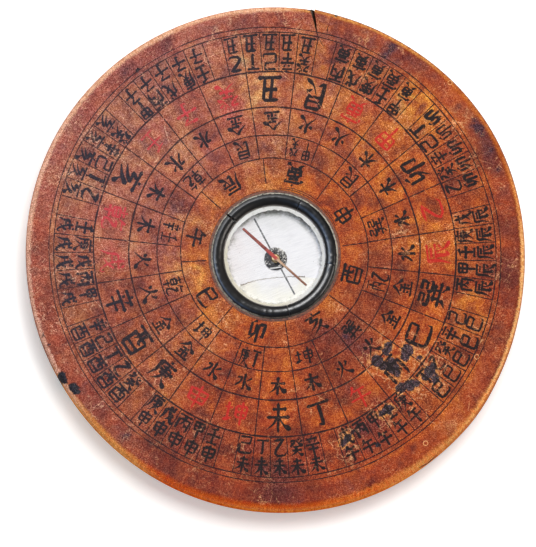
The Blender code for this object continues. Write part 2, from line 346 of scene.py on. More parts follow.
def floor_material():
    finish = Finish("white_table")
    path = finish.node("ShaderNodeLightPath", out="Is Camera Ray")
    seen = path + path.output("Is Glossy Ray") + path.output("Is Transmission Ray")
    glow = finish.mix(seen, (0, 0, 0), (FLOOR_GLOW,) * 3)
    matte = finish.node("ShaderNodeBsdfDiffuse", {}, {"Color": (FLOOR_COLOUR,) * 3})
    light = finish.node("ShaderNodeEmission", {}, {"Color": glow})
    return finish.done(finish.node("ShaderNodeAddShader", {}, {0: matte, 1: light}))


def add_floor():
    half = FLOOR_SIDE / 2
    corners = [(-half, -half), (half, -half), (half, half), (-half, half)]
    mesh = bpy.data.meshes.new("floor")
    mesh.from_pydata([(x, y, -FLOOR_DROP) for x, y in corners], [], [(0, 1, 2, 3)])
    mesh.materials.append(floor_material())
    floor = bpy.data.objects.new("floor", mesh)
    bpy.context.scene.collection.objects.link(floor)


add_floor()
print("floor laid")

# %% Lights
WORLD_LIGHT = 0.30
SKY = (0.98, 0.99, 1.0)
WHITE = (1.0, 1.0, 1.0)
# name, heading, angle above the table, distance, sides in metres, radiance and colour of each lamp
KEY_LAMP = ("key_lamp", 26, 69, 1.4, (0.74, 0.74), 11.4, (1.0, 0.985, 0.965))
MIRRORED_PANELS = (
    ("far_left_panel", 328, 55, 1.0, (0.62, 0.36), 34.0, WHITE),
    ("low_panel", 318, 36, 1.0, (0.56, 0.22), 5.0, WHITE),
    ("left_panel", 276, 43, 1.0, (0.44, 0.34), 14.0, (0.84, 0.92, 1.0)),
    ("blue_panel", 250, 50, 1.0, (0.80, 0.66), 4.4, (0.38, 0.58, 1.0)),
    ("far_panel", 8, 30, 1.0, (0.36, 0.24), 3.5, WHITE),
    ("right_panel", 108, 43, 1.0, (0.46, 0.34), 12.0, (1.0, 0.94, 0.88)),
)


def add_lamp(mirrored, name, heading, height_angle, distance, sides, radiance, colour):
    """A flat lamp that is only mirrored, or only lights. Its power is pi x radiance x area."""
    rise = math.radians(height_angle)
    east, north = heading_vector(heading) * distance * math.cos(rise)
    lamp = bpy.data.lights.new(name, "AREA")
    lamp.shape = "RECTANGLE"
    lamp.size, lamp.size_y = sides
    lamp.energy = math.pi * radiance * sides[0] * sides[1]
    lamp.color = colour
    panel = bpy.data.objects.new(name, lamp)
    panel.location = (east, north, distance * math.sin(rise))
    panel.rotation_euler = (-panel.location).to_track_quat("-Z", "Y").to_euler()
    panel.visible_glossy = mirrored
    panel.visible_diffuse = not mirrored
    bpy.context.scene.collection.objects.link(panel)


def add_world():
    world = bpy.data.worlds.new("studio_air")
    world.use_nodes = True
    air = world.node_tree.nodes["Background"]
    air.inputs["Color"].default_value = (*SKY, 1.0)
    air.inputs["Strength"].default_value = WORLD_LIGHT
    bpy.context.scene.world = world


add_world()
add_lamp(False, *KEY_LAMP)
for panel_row in MIRRORED_PANELS:
    add_lamp(True, *panel_row)
bpy.context.scene.view_settings.view_transform = "Standard"

# %% [markdown]
# ## From grids of points to solids
#
# Every turned or swept piece is a grid of points: rows along a profile and columns round it. The
# faces join each point to its neighbours, and the two ends are closed by caps, or to each other
# for a ring. The sign of the enclosed volume tells whether the faces point outwards.

# %% Grid meshes
SHARP_ANGLE = math.radians(38)


def tube_faces(index):
    """Quads and end caps of tubes, from point numbers with rows along a tube and columns round it."""
    grid = np.concatenate([index, index[..., :1]], axis=-1)
    corners = [grid[..., :-1, :-1], grid[..., :-1, 1:], grid[..., 1:, 1:], grid[..., 1:, :-1]]
    caps = np.stack([index[..., 0, ::-1], index[..., -1, :]], axis=-2)
    return np.stack(corners, axis=-1).reshape(-1, 4), caps.reshape(-1, index.shape[-1])


def enclosed(points, faces):
    """The signed volume inside some faces: a sixth of the triple products of fans of triangles."""
    total = 0.0
    centred = points - points.mean(axis=0)
    for face in faces:
        first = centred[face[..., :1]]
        pairs = np.cross(centred[face[..., 1:-1]], centred[face[..., 2:]])
        total += (first * pairs).sum() / 6
    return total


def add_piece(name, points, quads, caps, finish):
    """An object from points, an array of quads and an array of end caps, faces outwards."""
    groups = [quads] + ([caps] if len(caps) else [])
    if enclosed(points, groups) < 0:
        groups = [group[:, ::-1] for group in groups]
    mesh = bpy.data.meshes.new(name)
    mesh.from_pydata(points.tolist(), [], [face for group in groups for face in group.tolist()])
    mesh.materials.append(finish)
    mesh.shade_smooth()
    mesh.set_sharp_from_angle(angle=SHARP_ANGLE)
    piece = bpy.data.objects.new(name, mesh)
    bpy.context.scene.collection.objects.link(piece)
    return piece


def lofted(name, loops, finish, ring=False):
    """A solid from closed loops of points, rows x columns x 3, capped or joined in a ring."""
    rows, columns = loops.shape[:2]
    index = np.arange(rows * columns).reshape(rows, columns)
    quads, caps = tube_faces(np.vstack([index, index[:1]]) if ring else index)
    return add_piece(name, loops.reshape(-1, 3), quads, [] if ring else caps, finish)


def arc(radius, z, rounding, start, end, steps):
    """Points (radius, z) of a quarter or other arc about a centre, between elevation angles."""
    turn = np.radians(np.linspace(start, end, steps))
    return np.stack([radius + rounding * np.cos(turn), z + rounding * np.sin(turn)], axis=-1)


def raised(plan, height):
    """Points from places in plan and heights that spread over them."""
    return np.concatenate([plan, np.broadcast_to(height, plan.shape[:-1])[..., None]], axis=-1)


def turned_loops(profile, headings, centre):
    """A (radius, z) profile carried round an axis: one loop for each point of the profile."""
    profile = np.asarray(profile)
    plan = heading_vector(headings) * profile[:, 0].reshape(-1, 1, 1) + centre
    return raised(plan, profile[:, 1:])


def swept_loops(section, headings, centre):
    """A closed section carried round an axis: one loop for each heading."""
    return turned_loops(section, headings, centre).transpose(1, 0, 2)


def stations(line, count):
    """Rows evenly spread between the rows of a line, by straight interpolation of each column."""
    line = np.asarray(line, float)
    place = np.linspace(0, len(line) - 1, count)
    return np.stack([np.interp(place, range(len(line)), column) for column in line.T], axis=-1)


def leftward(lines):
    """A unit step to the left at each point of some lines, square to their run."""
    step = np.gradient(lines, axis=-2)
    length = np.maximum(np.linalg.norm(step, axis=-1, keepdims=True), 1e-12)
    return np.stack([-step[..., 1], step[..., 0]], axis=-1) / length


def place_piece(piece, body, slot, *nodes):
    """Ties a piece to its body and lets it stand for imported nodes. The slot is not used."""
    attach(piece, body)
    if nodes:
        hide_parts(*nodes)
    print(piece.name, len(piece.data.polygons), "faces")
    return piece


def vertex_places(piece):
    places = np.zeros(len(piece.data.vertices) * 3, np.float32)
    piece.data.vertices.foreach_get("co", places)
    return places.reshape(-1, 3).astype(float)


def write_attribute(piece, name, values):
    layer = piece.data.attributes.new(name, "FLOAT", "POINT")
    layer.data.foreach_set("value", np.asarray(values, np.float32))


def wobble(angle, waves, seed):
    """A smooth closed wobble of spread 1: cosines of whole frequencies with seeded phases."""
    draw = np.random.default_rng(seed)
    frequency = np.asarray(waves)
    phase = draw.uniform(0, 2 * np.pi, len(frequency))
    size = draw.uniform(0.5, 1.0, len(frequency))
    total = np.cos(np.radians(np.asarray(angle)[..., None]) * frequency + phase) @ size
    return total / np.sqrt((size ** 2).sum() / 2)


print("grid tools ready")

# %% [markdown]
# ## The wooden board
#
# The real board is turned on a lathe: a flat disc with a rounded edge, and a stepped well in its
# middle for the compass. Here one long profile runs from the middle of the underside, round the
# edge, over the face and down into the well. The loops near the edge follow the oval outline and
# those near the well follow its circle. The face is not quite flat, and the edge has lost a
# little of its corner where hands have rubbed it.

# %% The board's profile
ROUND_STEPS = 512
EDGE_STEPS = 15
BASE_LOOPS = 12
FACE_LOOPS = 73
ROOM = 0.2 * MM
FACE_ROUNDING = 2.4 * MM
BASE_ROUNDING = 3.0 * MM
WELL_MOUTH = half_width("bezel_putty") + ROOM
WELL_BORE = half_width("silvered_pan") + ROOM
PIN_HOLE = half_width("pivot_pin") + ROOM
SEAT_Z, WELL_FLOOR_Z, PIN_HOLE_Z = (
    levels(node)[0] - ROOM for node in ("bezel_putty", "silvered_pan", "pivot_pin"))
MOUTH_EASING = 0.15 * MM
FACE_WAVE = 0.03 * MM
RUBBED_DEPTH = 0.16 * MM
round_headings = np.arange(ROUND_STEPS) * 360.0 / ROUND_STEPS


def face_height(plan):
    """The face's height: flat, less a slow wave of four plane waves that never stands proud."""
    waves = np.array([[0.9, 0.4], [-0.5, 1.1], [0.3, -0.8], [1.3, 0.2]]) / (14 * MM)
    lift = np.sin(plan @ waves.T + np.array([0.4, 1.7, 3.1, 5.0])).mean(axis=-1)
    return FACE_Z - FACE_WAVE * (1 - lift)


def rim_loops(profile, rubbed=0.0):
    """Loops that follow the outline at each profile point's inset and height."""
    profile = np.asarray(profile)
    radius = worn_radius(round_headings) - profile[:, :1] - rubbed
    return raised(heading_vector(round_headings) * radius[..., None] + OUTLINE, profile[:, 1:])


def edge_profile():
    """Inset and height from the underside, round the lower corner, up the wall, to the face."""
    lower = arc(-BASE_ROUNDING, BASE_ROUNDING, BASE_ROUNDING, -80, 0, 9)
    wall = np.stack([np.zeros(4), np.linspace(BASE_ROUNDING, FACE_Z - FACE_ROUNDING, 6)[1:-1]], axis=1)
    upper = arc(-FACE_ROUNDING, FACE_Z - FACE_ROUNDING, FACE_ROUNDING, 0, 90, EDGE_STEPS)
    return np.concatenate([lower, wall, upper]) * (-1, 1)


def rubbed_depth(edge):
    """How much hands have taken off the upper corner: half a sine wave across it, uneven round it."""
    depth = wobble(round_headings, range(5, 60, 4), 3) + wobble(round_headings, range(90, 200, 9), 4)
    rubbed = np.zeros((len(edge), ROUND_STEPS))
    across = np.sin(np.linspace(0, np.pi, EDGE_STEPS))[:, None]
    rubbed[-EDGE_STEPS:] = RUBBED_DEPTH / 2 * across * np.clip(depth, 0, 2)
    return rubbed


def board_loops():
    """The whole profile, as loops from the underside's middle to the bottom of the pin's hole."""
    shares = np.linspace(0.05, 1, BASE_LOOPS)[:, None, None]
    base = rim_loops([(BASE_ROUNDING, 0)]) * shares
    base[..., :2] += OUTLINE * (1 - shares)
    edge = edge_profile()
    rubbed = rubbed_depth(edge)
    edge_loops = rim_loops(edge, rubbed)
    edge_loops[..., 2] -= rubbed
    mouth = turned_loops([(WELL_MOUTH + MOUTH_EASING, FACE_Z)], round_headings, WELL)
    share = np.linspace(0, 1, FACE_LOOPS + 1)[1:, None, None]
    face = edge_loops[-1:] * (1 - share) + mouth * share
    for loop in (edge_loops[-1], face):
        loop[..., 2] = face_height(loop[..., :2])
    steps = [(WELL_MOUTH, FACE_Z - MOUTH_EASING), (WELL_MOUTH, SEAT_Z), (WELL_BORE, SEAT_Z),
             (WELL_BORE, WELL_FLOOR_Z)]
    well = turned_loops(steps, round_headings, WELL)
    hole = turned_loops([(PIN_HOLE, WELL_FLOOR_Z), (PIN_HOLE, PIN_HOLE_Z)], round_headings, PIVOT)
    return np.concatenate([base, edge_loops, face, well, hole])


print("board profile:", board_loops().shape[0], "loops of", ROUND_STEPS)

# %% [markdown]
# ## The split in the edge
#
# The board has dried and split along its grain at the far edge. A drying crack is a wedge in two
# ways: it widens towards the edge and towards the face, and it leans with the grain. A cutter of
# that shape, with torn sides, is taken out of the board with a Boolean, which leaves real walls in
# the crack. A second crack beside it has only just begun.

# %% Split cutters
SPLIT = (   # column and row of points of the crack, and its width there in millimetres
    (318.5, 38.3, 0.05), (317.4, 34.5, 0.14), (316.4, 30.6, 0.32), (314.9, 22.0, 0.74),
    (311.9, 9.0, 1.16), (311.3, 0.0, 1.34),
)
SECOND_SPLIT = ((328.3, 26.0, 0.03), (330.4, 20.5, 0.20), (332.1, 15.3, 0.24), (333.8, 7.0, 0.20))
SECOND_DEPTH = 3 * MM
SPLIT_LEAN = 2.6 * MM
SPLIT_OVERRUN = 2 * MM
SPLIT_TEAR = 0.08        # as shares of its width
SPLIT_NARROWING = 0.86
STATIONS = 26
LEVELS = 9


def crack_spine(crack):
    """Even stations along a crack on the face, with its width at each."""
    columns, rows, widths = np.array(crack).T
    spine = stations(np.column_stack([photo_place(columns, rows), widths * MM]), STATIONS)
    return spine[:, :2], spine[:, 2]


def torn_cutter(name, crack, bottom, seed):
    """A blade with torn sides that leans with the grain, so that no light comes up through it."""
    spine, width = crack_spine(crack)
    side = leftward(spine)
    tear = np.random.default_rng(seed).uniform(-SPLIT_TEAR, SPLIT_TEAR, (2, LEVELS + 1, STATIONS))
    share = np.append(np.linspace(0, 1, LEVELS), 1)[:, None]
    left = 0.5 - SPLIT_NARROWING * (1 - share ** 0.7) + tear[0]
    right = tear[1] - 0.5
    shift = np.concatenate([left, right[:, ::-1]], axis=1)[..., None]
    across = side * width[:, None]
    spine, across, side = (np.concatenate([row, row[::-1]]) for row in (spine, across, side))
    lean = side * SPLIT_LEAN * (1 - share)[..., None]
    height = np.append(np.linspace(bottom, FACE_Z, LEVELS), FACE_Z + SPLIT_OVERRUN)
    return lofted(name, raised(spine + across * shift - lean, height[:, None]), None)


def cut_out(piece, cutters):
    """Takes the cutters out of a piece and keeps the result as the piece's own mesh."""
    for cutter in cutters:
        step = piece.modifiers.new("split", "BOOLEAN")
        step.operation = "DIFFERENCE"
        step.solver = "EXACT"
        step.object = cutter
    shape = piece.evaluated_get(bpy.context.evaluated_depsgraph_get())
    mesh = bpy.data.meshes.new_from_object(shape)
    piece.modifiers.clear()
    piece.data = mesh
    for cutter in cutters:
        bpy.data.objects.remove(cutter)


board = lofted("dial_board", board_loops(), None)
cut_out(board, [
    torn_cutter("split_blade", SPLIT, -SPLIT_OVERRUN, 11),
    torn_cutter("second_blade", SECOND_SPLIT, FACE_Z - SECOND_DEPTH, 12),
])
board.data.shade_smooth()
board.data.set_sharp_from_angle(angle=SHARP_ANGLE)
print("board after the cuts:", len(board.data.polygons), "faces")

# %% [markdown]
# ## Where the rings and spokes lie
#
# The rings were drawn with a compass before the wood shrank, so all of them are now stretched by
# about one part in ninety along the grain. Their middles drift a little, and the spokes were
# ruled from a point of their own. One function gives the place of any heading on any ring.

# %% The dial's map
DIAL_STRETCH = 0.0115
DIAL_STRETCH_HEADING = 153.0
SPOKE_MIDDLE_PIXEL = (274.7, 256.5)
INNER_MIDDLE = np.array((-0.56, 1.32)) * MM
OUTER_MIDDLE = np.array((-0.42, 0.86)) * MM
# from the outermost ring A to the innermost, in millimetres
RING_RADII = {"A": 67.70, "B": 66.25, "C": 54.34, "D": 43.60, "E": 35.23, "F": 28.15}
DIAL_TURN = -31.3


def ring_middle(radius):
    """The middle of a ring: it drifts in a straight line from the inner ring to the outer."""
    share = (radius / MM - RING_RADII["F"]) / (RING_RADII["A"] - RING_RADII["F"])
    share = np.clip(np.asarray(share), -0.3, 1)[..., None]
    return OUTLINE + INNER_MIDDLE * (1 - share) + OUTER_MIDDLE * share


def dial_point(heading, radius):
    """Where a ray from the spokes' middle meets a ring: a quadratic in the ray's length."""
    heading, radius = np.broadcast_arrays(np.asarray(heading, float), np.asarray(radius, float))
    along = heading_vector(DIAL_STRETCH_HEADING)
    shrink = np.eye(2) * (1 + DIAL_STRETCH) - 2 * DIAL_STRETCH * np.outer(along, along)
    start = photo_place(*SPOKE_MIDDLE_PIXEL)
    ray = heading_vector(heading)
    offset = (start - ring_middle(radius)) @ shrink
    slope = ray @ shrink
    a = (slope ** 2).sum(axis=-1)
    b = (slope * offset).sum(axis=-1)
    c = (offset ** 2).sum(axis=-1) - radius ** 2
    length = (np.sqrt(b * b - a * c) - b) / a
    return start + ray * length[..., None]


print("ring C at heading 0:", dial_point(0.0, RING_RADII["C"] * MM).round(5))

# %% [markdown]
# ## What stands in each ring
#
# Every compass of this kind carries the same counting signs: ten stems, twelve branches, four
# trigram names and the elements. They are ordinals, like the numbers on a clock. The main ring
# holds the twenty-four mountains, in black or red. The ring inside it gives each mountain's
# element, and the next one the partners of twelve of them. The outer ring pairs each branch with
# every second stem, five pairs to a branch. The innermost ring holds eight branches.

# %% Contents of the rings
STEMS = "甲乙丙丁戊己庚辛壬癸"
BRANCHES = "子丑寅卯辰巳午未申酉戌亥"
MOUNTAINS = "子癸丑艮寅甲卯乙辰巽巳丙午丁未坤申庚酉辛戌乾亥壬"
RED_MOUNTAINS = "乾甲坤乙子癸申辰午壬寅戌"
ELEMENT_MOUNTAINS = "壬子癸丑艮寅甲卯乙辰巽巳丙午丁未坤申庚酉辛戌乾亥"
ELEMENTS = dict(zip(ELEMENT_MOUNTAINS, "水水金金火火木木" * 3))
PARTNERS = {"坤": "丁庚", "庚": "坤", "丁": "坤", "巽": "乙丙", "乙": "巽", "丙": "巽",
            "艮": "癸甲", "甲": "艮", "癸": "艮", "乾": "壬辛", "辛": "乾", "壬": "乾"}
INNERMOST = "辰寅申酉亥卯巳午"
PAIR_STEP = 3.55


def around(signs, radius, step=15.0, first=0.0):
    """(sign, heading, radius, sideways step) of single signs or pairs at even headings."""
    return [(sign, step * number + first + DIAL_TURN, radius, ((len(group) - 1) / 2 - place) * PAIR_STEP)
            for number, group in enumerate(signs) for place, sign in enumerate(group)]


def kept(signs, wanted):
    """The signs, or pairs of them, that are wanted, with nothing in the places of the others."""
    return [group if wanted(group) else "" for group in signs]


# six places to each of the twelve branches: five columns, five degrees apart, and a gap
OUTER_PLACES = [(branch, step) for branch in range(12) for step in range(6)]
OUTER_STEMS = [STEMS[(branch + 12 * step) % 10] if step < 5 else "" for branch, step in OUTER_PLACES]
OUTER_BRANCHES = [BRANCHES[branch] if step < 5 else "" for branch, step in OUTER_PLACES]
PARTNER_GROUPS = [PARTNERS.get(sign, "") for sign in MOUNTAINS]

# rows, width and height of a sign, width of the brush, least and greatest strength of the ink
WRITING = {
    "mountains_black": (around(kept(MOUNTAINS, lambda sign: sign not in RED_MOUNTAINS), 48.9),
                        (8.7, 9.0), 1.36, (0.95, 1.0)),
    "mountains_red": (around(kept(MOUNTAINS, lambda sign: sign in RED_MOUNTAINS), 48.9),
                      (7.8, 8.0), 0.92, (0.80, 0.95)),
    "element_signs": (around([ELEMENTS[sign] for sign in MOUNTAINS], 39.5), (5.6, 5.8), 0.98, (0.85, 1.0)),
    "partner_signs": (around(kept(PARTNER_GROUPS, lambda group: len(group) == 1), 31.8),
                      (5.4, 5.8), 0.80, (0.80, 1.0)),
    "partner_pairs": (around(kept(PARTNER_GROUPS, lambda group: len(group) == 2), 31.8),
                      (3.4, 6.2), 0.66, (0.80, 1.0)),
    "outer_stems": (around(OUTER_STEMS, 57.4, 5.0, -10.0), (5.0, 6.0), 0.94, (0.85, 1.0)),
    "outer_branches": (around(OUTER_BRANCHES, 63.1, 5.0, -10.0), (5.2, 5.7), 0.92, (0.85, 1.0)),
    "innermost_signs": (around(INNERMOST, 23.9, 45.0), (6.7, 7.0), 1.08, (0.90, 1.0)),
}
print({name: len(rows) for name, (rows, *_) in WRITING.items()})

# %% [markdown]
# ## Marks of age, as numbers on the surface
#
# Some fields are worked out for every point of the wood and of the ink on it, so that both show
# the same wear: how far a point is inside the worn edge, how far inside a dark stain, how deep in
# a crack, and how much there is of washed-out red, of purple blotches, of gold and of bled ink.
# The material then breaks their smooth borders with noise.

# %% Fields of wear and stain
BLOTS = (   # column, row and radius in pixels of the stains where the lacquer has lifted
    (389, 346, 4.5), (386, 351, 4), (407.5, 350, 6.5), (405, 356, 5), (419, 358, 2.6), (377, 361, 6.5),
    (384, 366, 4.5), (393, 368, 6.5), (397, 374, 4), (391, 361, 4), (401, 387, 5), (410, 385, 5.5),
    (417, 384, 4), (430, 371, 5.5), (425, 377, 4.5), (435, 379, 5), (433, 366, 3.2),
    (388, 410, 5), (382, 414, 3.6), (348, 438, 4.5), (343, 443, 3.5),
)
SPOTS = (
    (61.5, 376.5, 4.6), (64, 381, 3.4), (73.5, 387.5, 5.0), (77, 391, 3.8), (42.5, 335, 1.7),
    (48.8, 343.6, 1.4), (138, 70.5, 2.6), (350, 329, 3.0), (353, 432, 2.5), (378, 445, 2.2), (336, 16, 1.4),
)
BELLS = {   # column, row, radius in pixels and strength of soft spots
    "smudge": ((107, 217, 13, 0.6), (112, 250, 14, 0.6), (229, 112, 13, 0.7), (190, 100, 13, 0.3),
               (238, 104, 8, 0.4), (155, 130, 10, 0.25), (372, 105, 8, 0.3), (122, 262, 8, 0.4)),
    "blotch": ((386, 56, 7, 0.9), (393, 47, 6, 1.0), (372, 44, 6, 0.7), (418, 66, 8, 0.5),
               (476, 124, 7, 1.2), (485, 136, 7, 1.2), (479, 129, 6, 0.7), (489, 149, 7, 1.1),
               (498, 169, 6, 1.2), (490, 160, 6, 0.5), (505, 192, 6, 0.6), (460, 108, 6, 0.5),
               (362, 430, 8, 0.8), (345, 447, 6, 0.7), (375, 400, 6, 0.5), (321, 17, 5, 0.6),
               (125, 72, 7, 0.7), (133, 66, 6, 0.6), (240, 27, 9, 0.5), (215, 33, 8, 0.5),
               (350, 36, 8, 0.5), (125, 436, 7, 0.8), (118, 428, 5, 0.5), (505, 230, 7, 0.5),
               (300, 316, 10, 0.6), (322, 330, 9, 0.5), (345, 335, 10, 0.6), (365, 350, 12, 0.6),
               (352, 388, 9, 0.7), (378, 425, 10, 0.6), (160, 60, 8, 0.5), (300, 395, 8, 0.4),
               (352, 330, 30, 0.30), (384, 262, 26, 0.25), (280, 150, 26, 0.22), (330, 160, 14, 0.2),
               (95, 405, 14, 0.5), (285, 496, 24, 0.4), (512, 262, 14, 0.4), (140, 470, 16, 0.3)),
    "deep": ((345, 335, 34, 0.9), (395, 305, 26, 0.5), (300, 345, 24, 0.6), (310, 400, 34, 0.5),
             (395, 420, 34, 0.6), (280, 470, 44, 0.6), (210, 440, 34, 0.4), (290, 148, 22, 0.6),
             (245, 150, 18, 0.4), (445, 270, 26, 0.4), (510, 290, 22, 0.7), (515, 215, 16, 0.5),
             (270, 495, 40, 0.8), (350, 490, 36, 0.5), (190, 470, 34, 0.6), (90, 370, 24, 0.5),
             (100, 330, 26, 0.5), (160, 205, 22, 0.4), (85, 280, 20, 0.3),
             (430, 60, 20, 0.6), (490, 150, 20, 0.6), (160, 430, 26, 0.4), (60, 300, 20, 0.3),
             (374, 297, 24, 0.45), (350, 325, 24, 0.4), (317, 357, 26, 0.45), (328, 382, 24, 0.3),
             (236, 357, 22, 0.4), (226, 382, 20, 0.3), (316, 159, 18, 0.3), (186, 330, 18, 0.5)),
    "gold": ((265, 82, 20, 0.7), (256, 98, 12, 0.6), (430, 112, 26, 0.8), (415, 90, 18, 0.6),
             (215, 120, 14, 0.5), (190, 272, 22, 0.9), (205, 310, 14, 0.7), (172, 395, 12, 0.6),
             (290, 375, 16, 0.5), (255, 372, 14, 0.5), (470, 300, 18, 0.5), (440, 325, 14, 0.5),
             (330, 22, 16, 0.8), (150, 305, 14, 0.5), (465, 84, 18, 0.8), (395, 200, 20, 0.5),
             (412, 112, 20, 0.7), (276, 55, 24, 0.6), (240, 58, 20, 0.5), (312, 60, 20, 0.5),
             (352, 70, 18, 0.3), (190, 74, 22, 0.4), (132, 114, 24, 0.4), (88, 181, 24, 0.3),
             (448, 422, 20, 0.6), (412, 454, 20, 0.6), (470, 390, 16, 0.4), (250, 86, 18, 0.5)),
}
FAR_OUT = 6.0
BLEED_RADIUS = 2.4 * MM
NEAR_CRACK = 0.12 * MM
NEAR_WELL = 0.02 * MM


def outline_inset(plan):
    """How far inside the outline a point lies, in metres."""
    out = plan - OUTLINE
    heading = np.degrees(np.arctan2(out[:, 0], out[:, 1]))
    return worn_radius(heading) - np.hypot(out[:, 0], out[:, 1])


def edge_field(places):
    """Millimetres inside the edge's corner: along the face or underside, or less down the wall."""
    inset = outline_inset(places[:, :2])
    under_top = np.maximum(FACE_Z - FACE_ROUNDING - places[:, 2], 0)
    over_base = np.maximum(places[:, 2] - BASE_ROUNDING, 0)
    return (inset - np.minimum(under_top, over_base)) / MM


def distances(places, centres):
    """How far each place, a row, is in plan from each centre, a column."""
    return np.linalg.norm(places[:, None, :2] - centres, axis=2)


def spot_field(places, spots):
    """Millimetres inside the nearest spot's circle, less than 0 outside it."""
    columns, rows, radii = np.array(spots).T
    inside = radii * PIXEL - distances(places, photo_place(columns, rows))
    return np.clip(inside.max(axis=1) / MM, -FAR_OUT, None)


def bell_field(places, spots):
    """The sum of soft bells about some spots."""
    columns, rows, radii, strengths = np.array(spots).T
    share = distances(places, photo_place(columns, rows)) / (radii * PIXEL)
    return (strengths * np.exp(-share ** 2)).sum(axis=1)


def bleed_field(places):
    """How near a black sign of the outer rings is: a bell about the nearest one."""
    rows = WRITING["outer_stems"][0] + WRITING["outer_branches"][0]
    _, headings, radii, _ = zip(*rows)
    centres = dial_point(headings, np.array(radii) * MM)
    return np.exp(-(distances(places, centres).min(axis=1) / BLEED_RADIUS) ** 2)


def depth_field(places):
    """Millimetres below the face on the walls of the cracks and in the well, and 0 elsewhere."""
    inside = np.linalg.norm(places[:, :2] - WELL, axis=1) < WELL_MOUTH + NEAR_WELL
    for crack in (SPLIT, SECOND_SPLIT):
        spine, width = crack_spine(crack)
        inside |= (distances(places, spine) - width / 2).min(axis=1) < NEAR_CRACK
    return np.where(inside, (FACE_Z - places[:, 2]) / MM, 0.0)


def write_fields(piece):
    places = vertex_places(piece)
    write_attribute(piece, "edge", edge_field(places))
    write_attribute(piece, "stain", spot_field(places, BLOTS + SPOTS))
    write_attribute(piece, "lifted", spot_field(places, BLOTS))
    write_attribute(piece, "bleed", bleed_field(places))
    write_attribute(piece, "depth", depth_field(places))
    for name, spots in BELLS.items():
        write_attribute(piece, name, bell_field(places, spots))


write_fields(board)
print("fields on", len(board.data.vertices), "points")

# %% [markdown]
# ## Worn lacquer over wood
#
# The lacquer is a mottled orange-brown: golden where it is thin, red-brown where it is thick, and
# nearly black in old blotches near the rim. Pale hair cracks and scratches run through it in
# patches. On the left it is milky and pink, partly from a haze in the lacquer and partly as
# painted sheen of light from the left, and a bluish-grey veil over the face is painted sheen too.
# At the edge, hands have rubbed it down to yellow wood on the right and to clear orange at the
# near side; a pink-white line on the left rounding and a band at the upper left are painted
# highlights, and parts of the near edge are lightened as painted light. Everything comes from
# noise on the object's own coordinates, in layers from the broadest to the finest.

# %% Lacquer colours
WARM = ((0.08, (0.030, 0.008, 0.011)), (0.32, (0.150, 0.024, 0.011)), (0.50, (0.335, 0.066, 0.013)),
        (0.68, (0.520, 0.152, 0.023)), (0.92, (0.800, 0.400, 0.110)))
# the left's ramp: partly a milky haze in the lacquer, partly painted sheen of light from the left
HAZE_AND_SHEEN = ((0.08, (0.050, 0.018, 0.025)), (0.32, (0.185, 0.048, 0.036)), (0.50, (0.355, 0.108, 0.064)),
         (0.68, (0.530, 0.215, 0.115)), (0.92, (0.790, 0.480, 0.330)))
SATURATED = (1.09, 0.91, 0.31)
DEEP_ORANGE = (0.99, 0.82, 0.56)
RIM_RED = (1.00, 0.86, 0.78)
# painted sheen: a bluish-grey veil standing in for light mirrored by the lacquer
SHEEN_VEIL = (0.165, 0.090, 0.105)
REDDISH = (1.00, 0.84, 1.04)
GOLDEN = (1.00, 1.18, 0.92)
PURPLE = (0.060, 0.017, 0.027)
BLEED = (0.085, 0.026, 0.040)
FADED_RED = (0.430, 0.040, 0.060)
PALE_HAIR = (0.760, 0.400, 0.180)
# the left's hair colour carries the same haze and painted sheen
HAIR_HAZE_AND_SHEEN = (0.740, 0.430, 0.280)
SCREEN_GAMMA = 2.2
GRIT_LOSS = 0.022
WOOD_RELIEF = 0.04      # in millimetres
FACE_SHEEN = 0.08

# heading, where it starts and is full in mm towards it, share of the fibres, reach in mm,
# strength and the two colours of a rubbed part of the edge. Besides bare wood, the rows at 108,
# 145, 186 and 227 are lightened as painted light on the shaded near side, the row at 153 is
# painted light on the outermost rounding, and the row at 318 is a painted highlight band
RUBBED = (
    (30, (60, 67), 0.35, (0.60, 1.60), 0.9, (0.44, 0.12, 0.018), (0.80, 0.38, 0.09)),
    (60, (68, 72), 0.60, (0.80, 2.00), 0.9, (0.32, 0.060, 0.008), (0.54, 0.15, 0.020)),
    (84, (70, 73), 0.50, (0.90, 1.60), 0.9, (0.50, 0.14, 0.025), (0.86, 0.37, 0.11)),
    (108, (64, 69), 0.60, (0.80, 1.40), 1.0, (0.72, 0.26, 0.065), (1.00, 0.62, 0.26)),
    (145, (66, 71), 1.10, (0.40, 2.40), 0.9, (0.74, 0.21, 0.045), (1.00, 0.50, 0.14)),
    (186, (57, 67), 0.70, (0.30, 2.40), 1.0, (0.50, 0.045, 0.002), (0.94, 0.175, 0.008)),
    (153, (46, 68), 0.50, (0.10, 0.90), 0.6, (0.88, 0.150, 0.012), (1.00, 0.42, 0.070)),
    (227, (69, 73), 0.60, (0.80, 2.20), 0.9, (0.74, 0.21, 0.035), (1.00, 0.48, 0.12)),
    (318, (47, 58), 0.50, (0.90, 2.10), 0.85, (0.66, 0.28, 0.14), (1.00, 0.64, 0.42)),
)


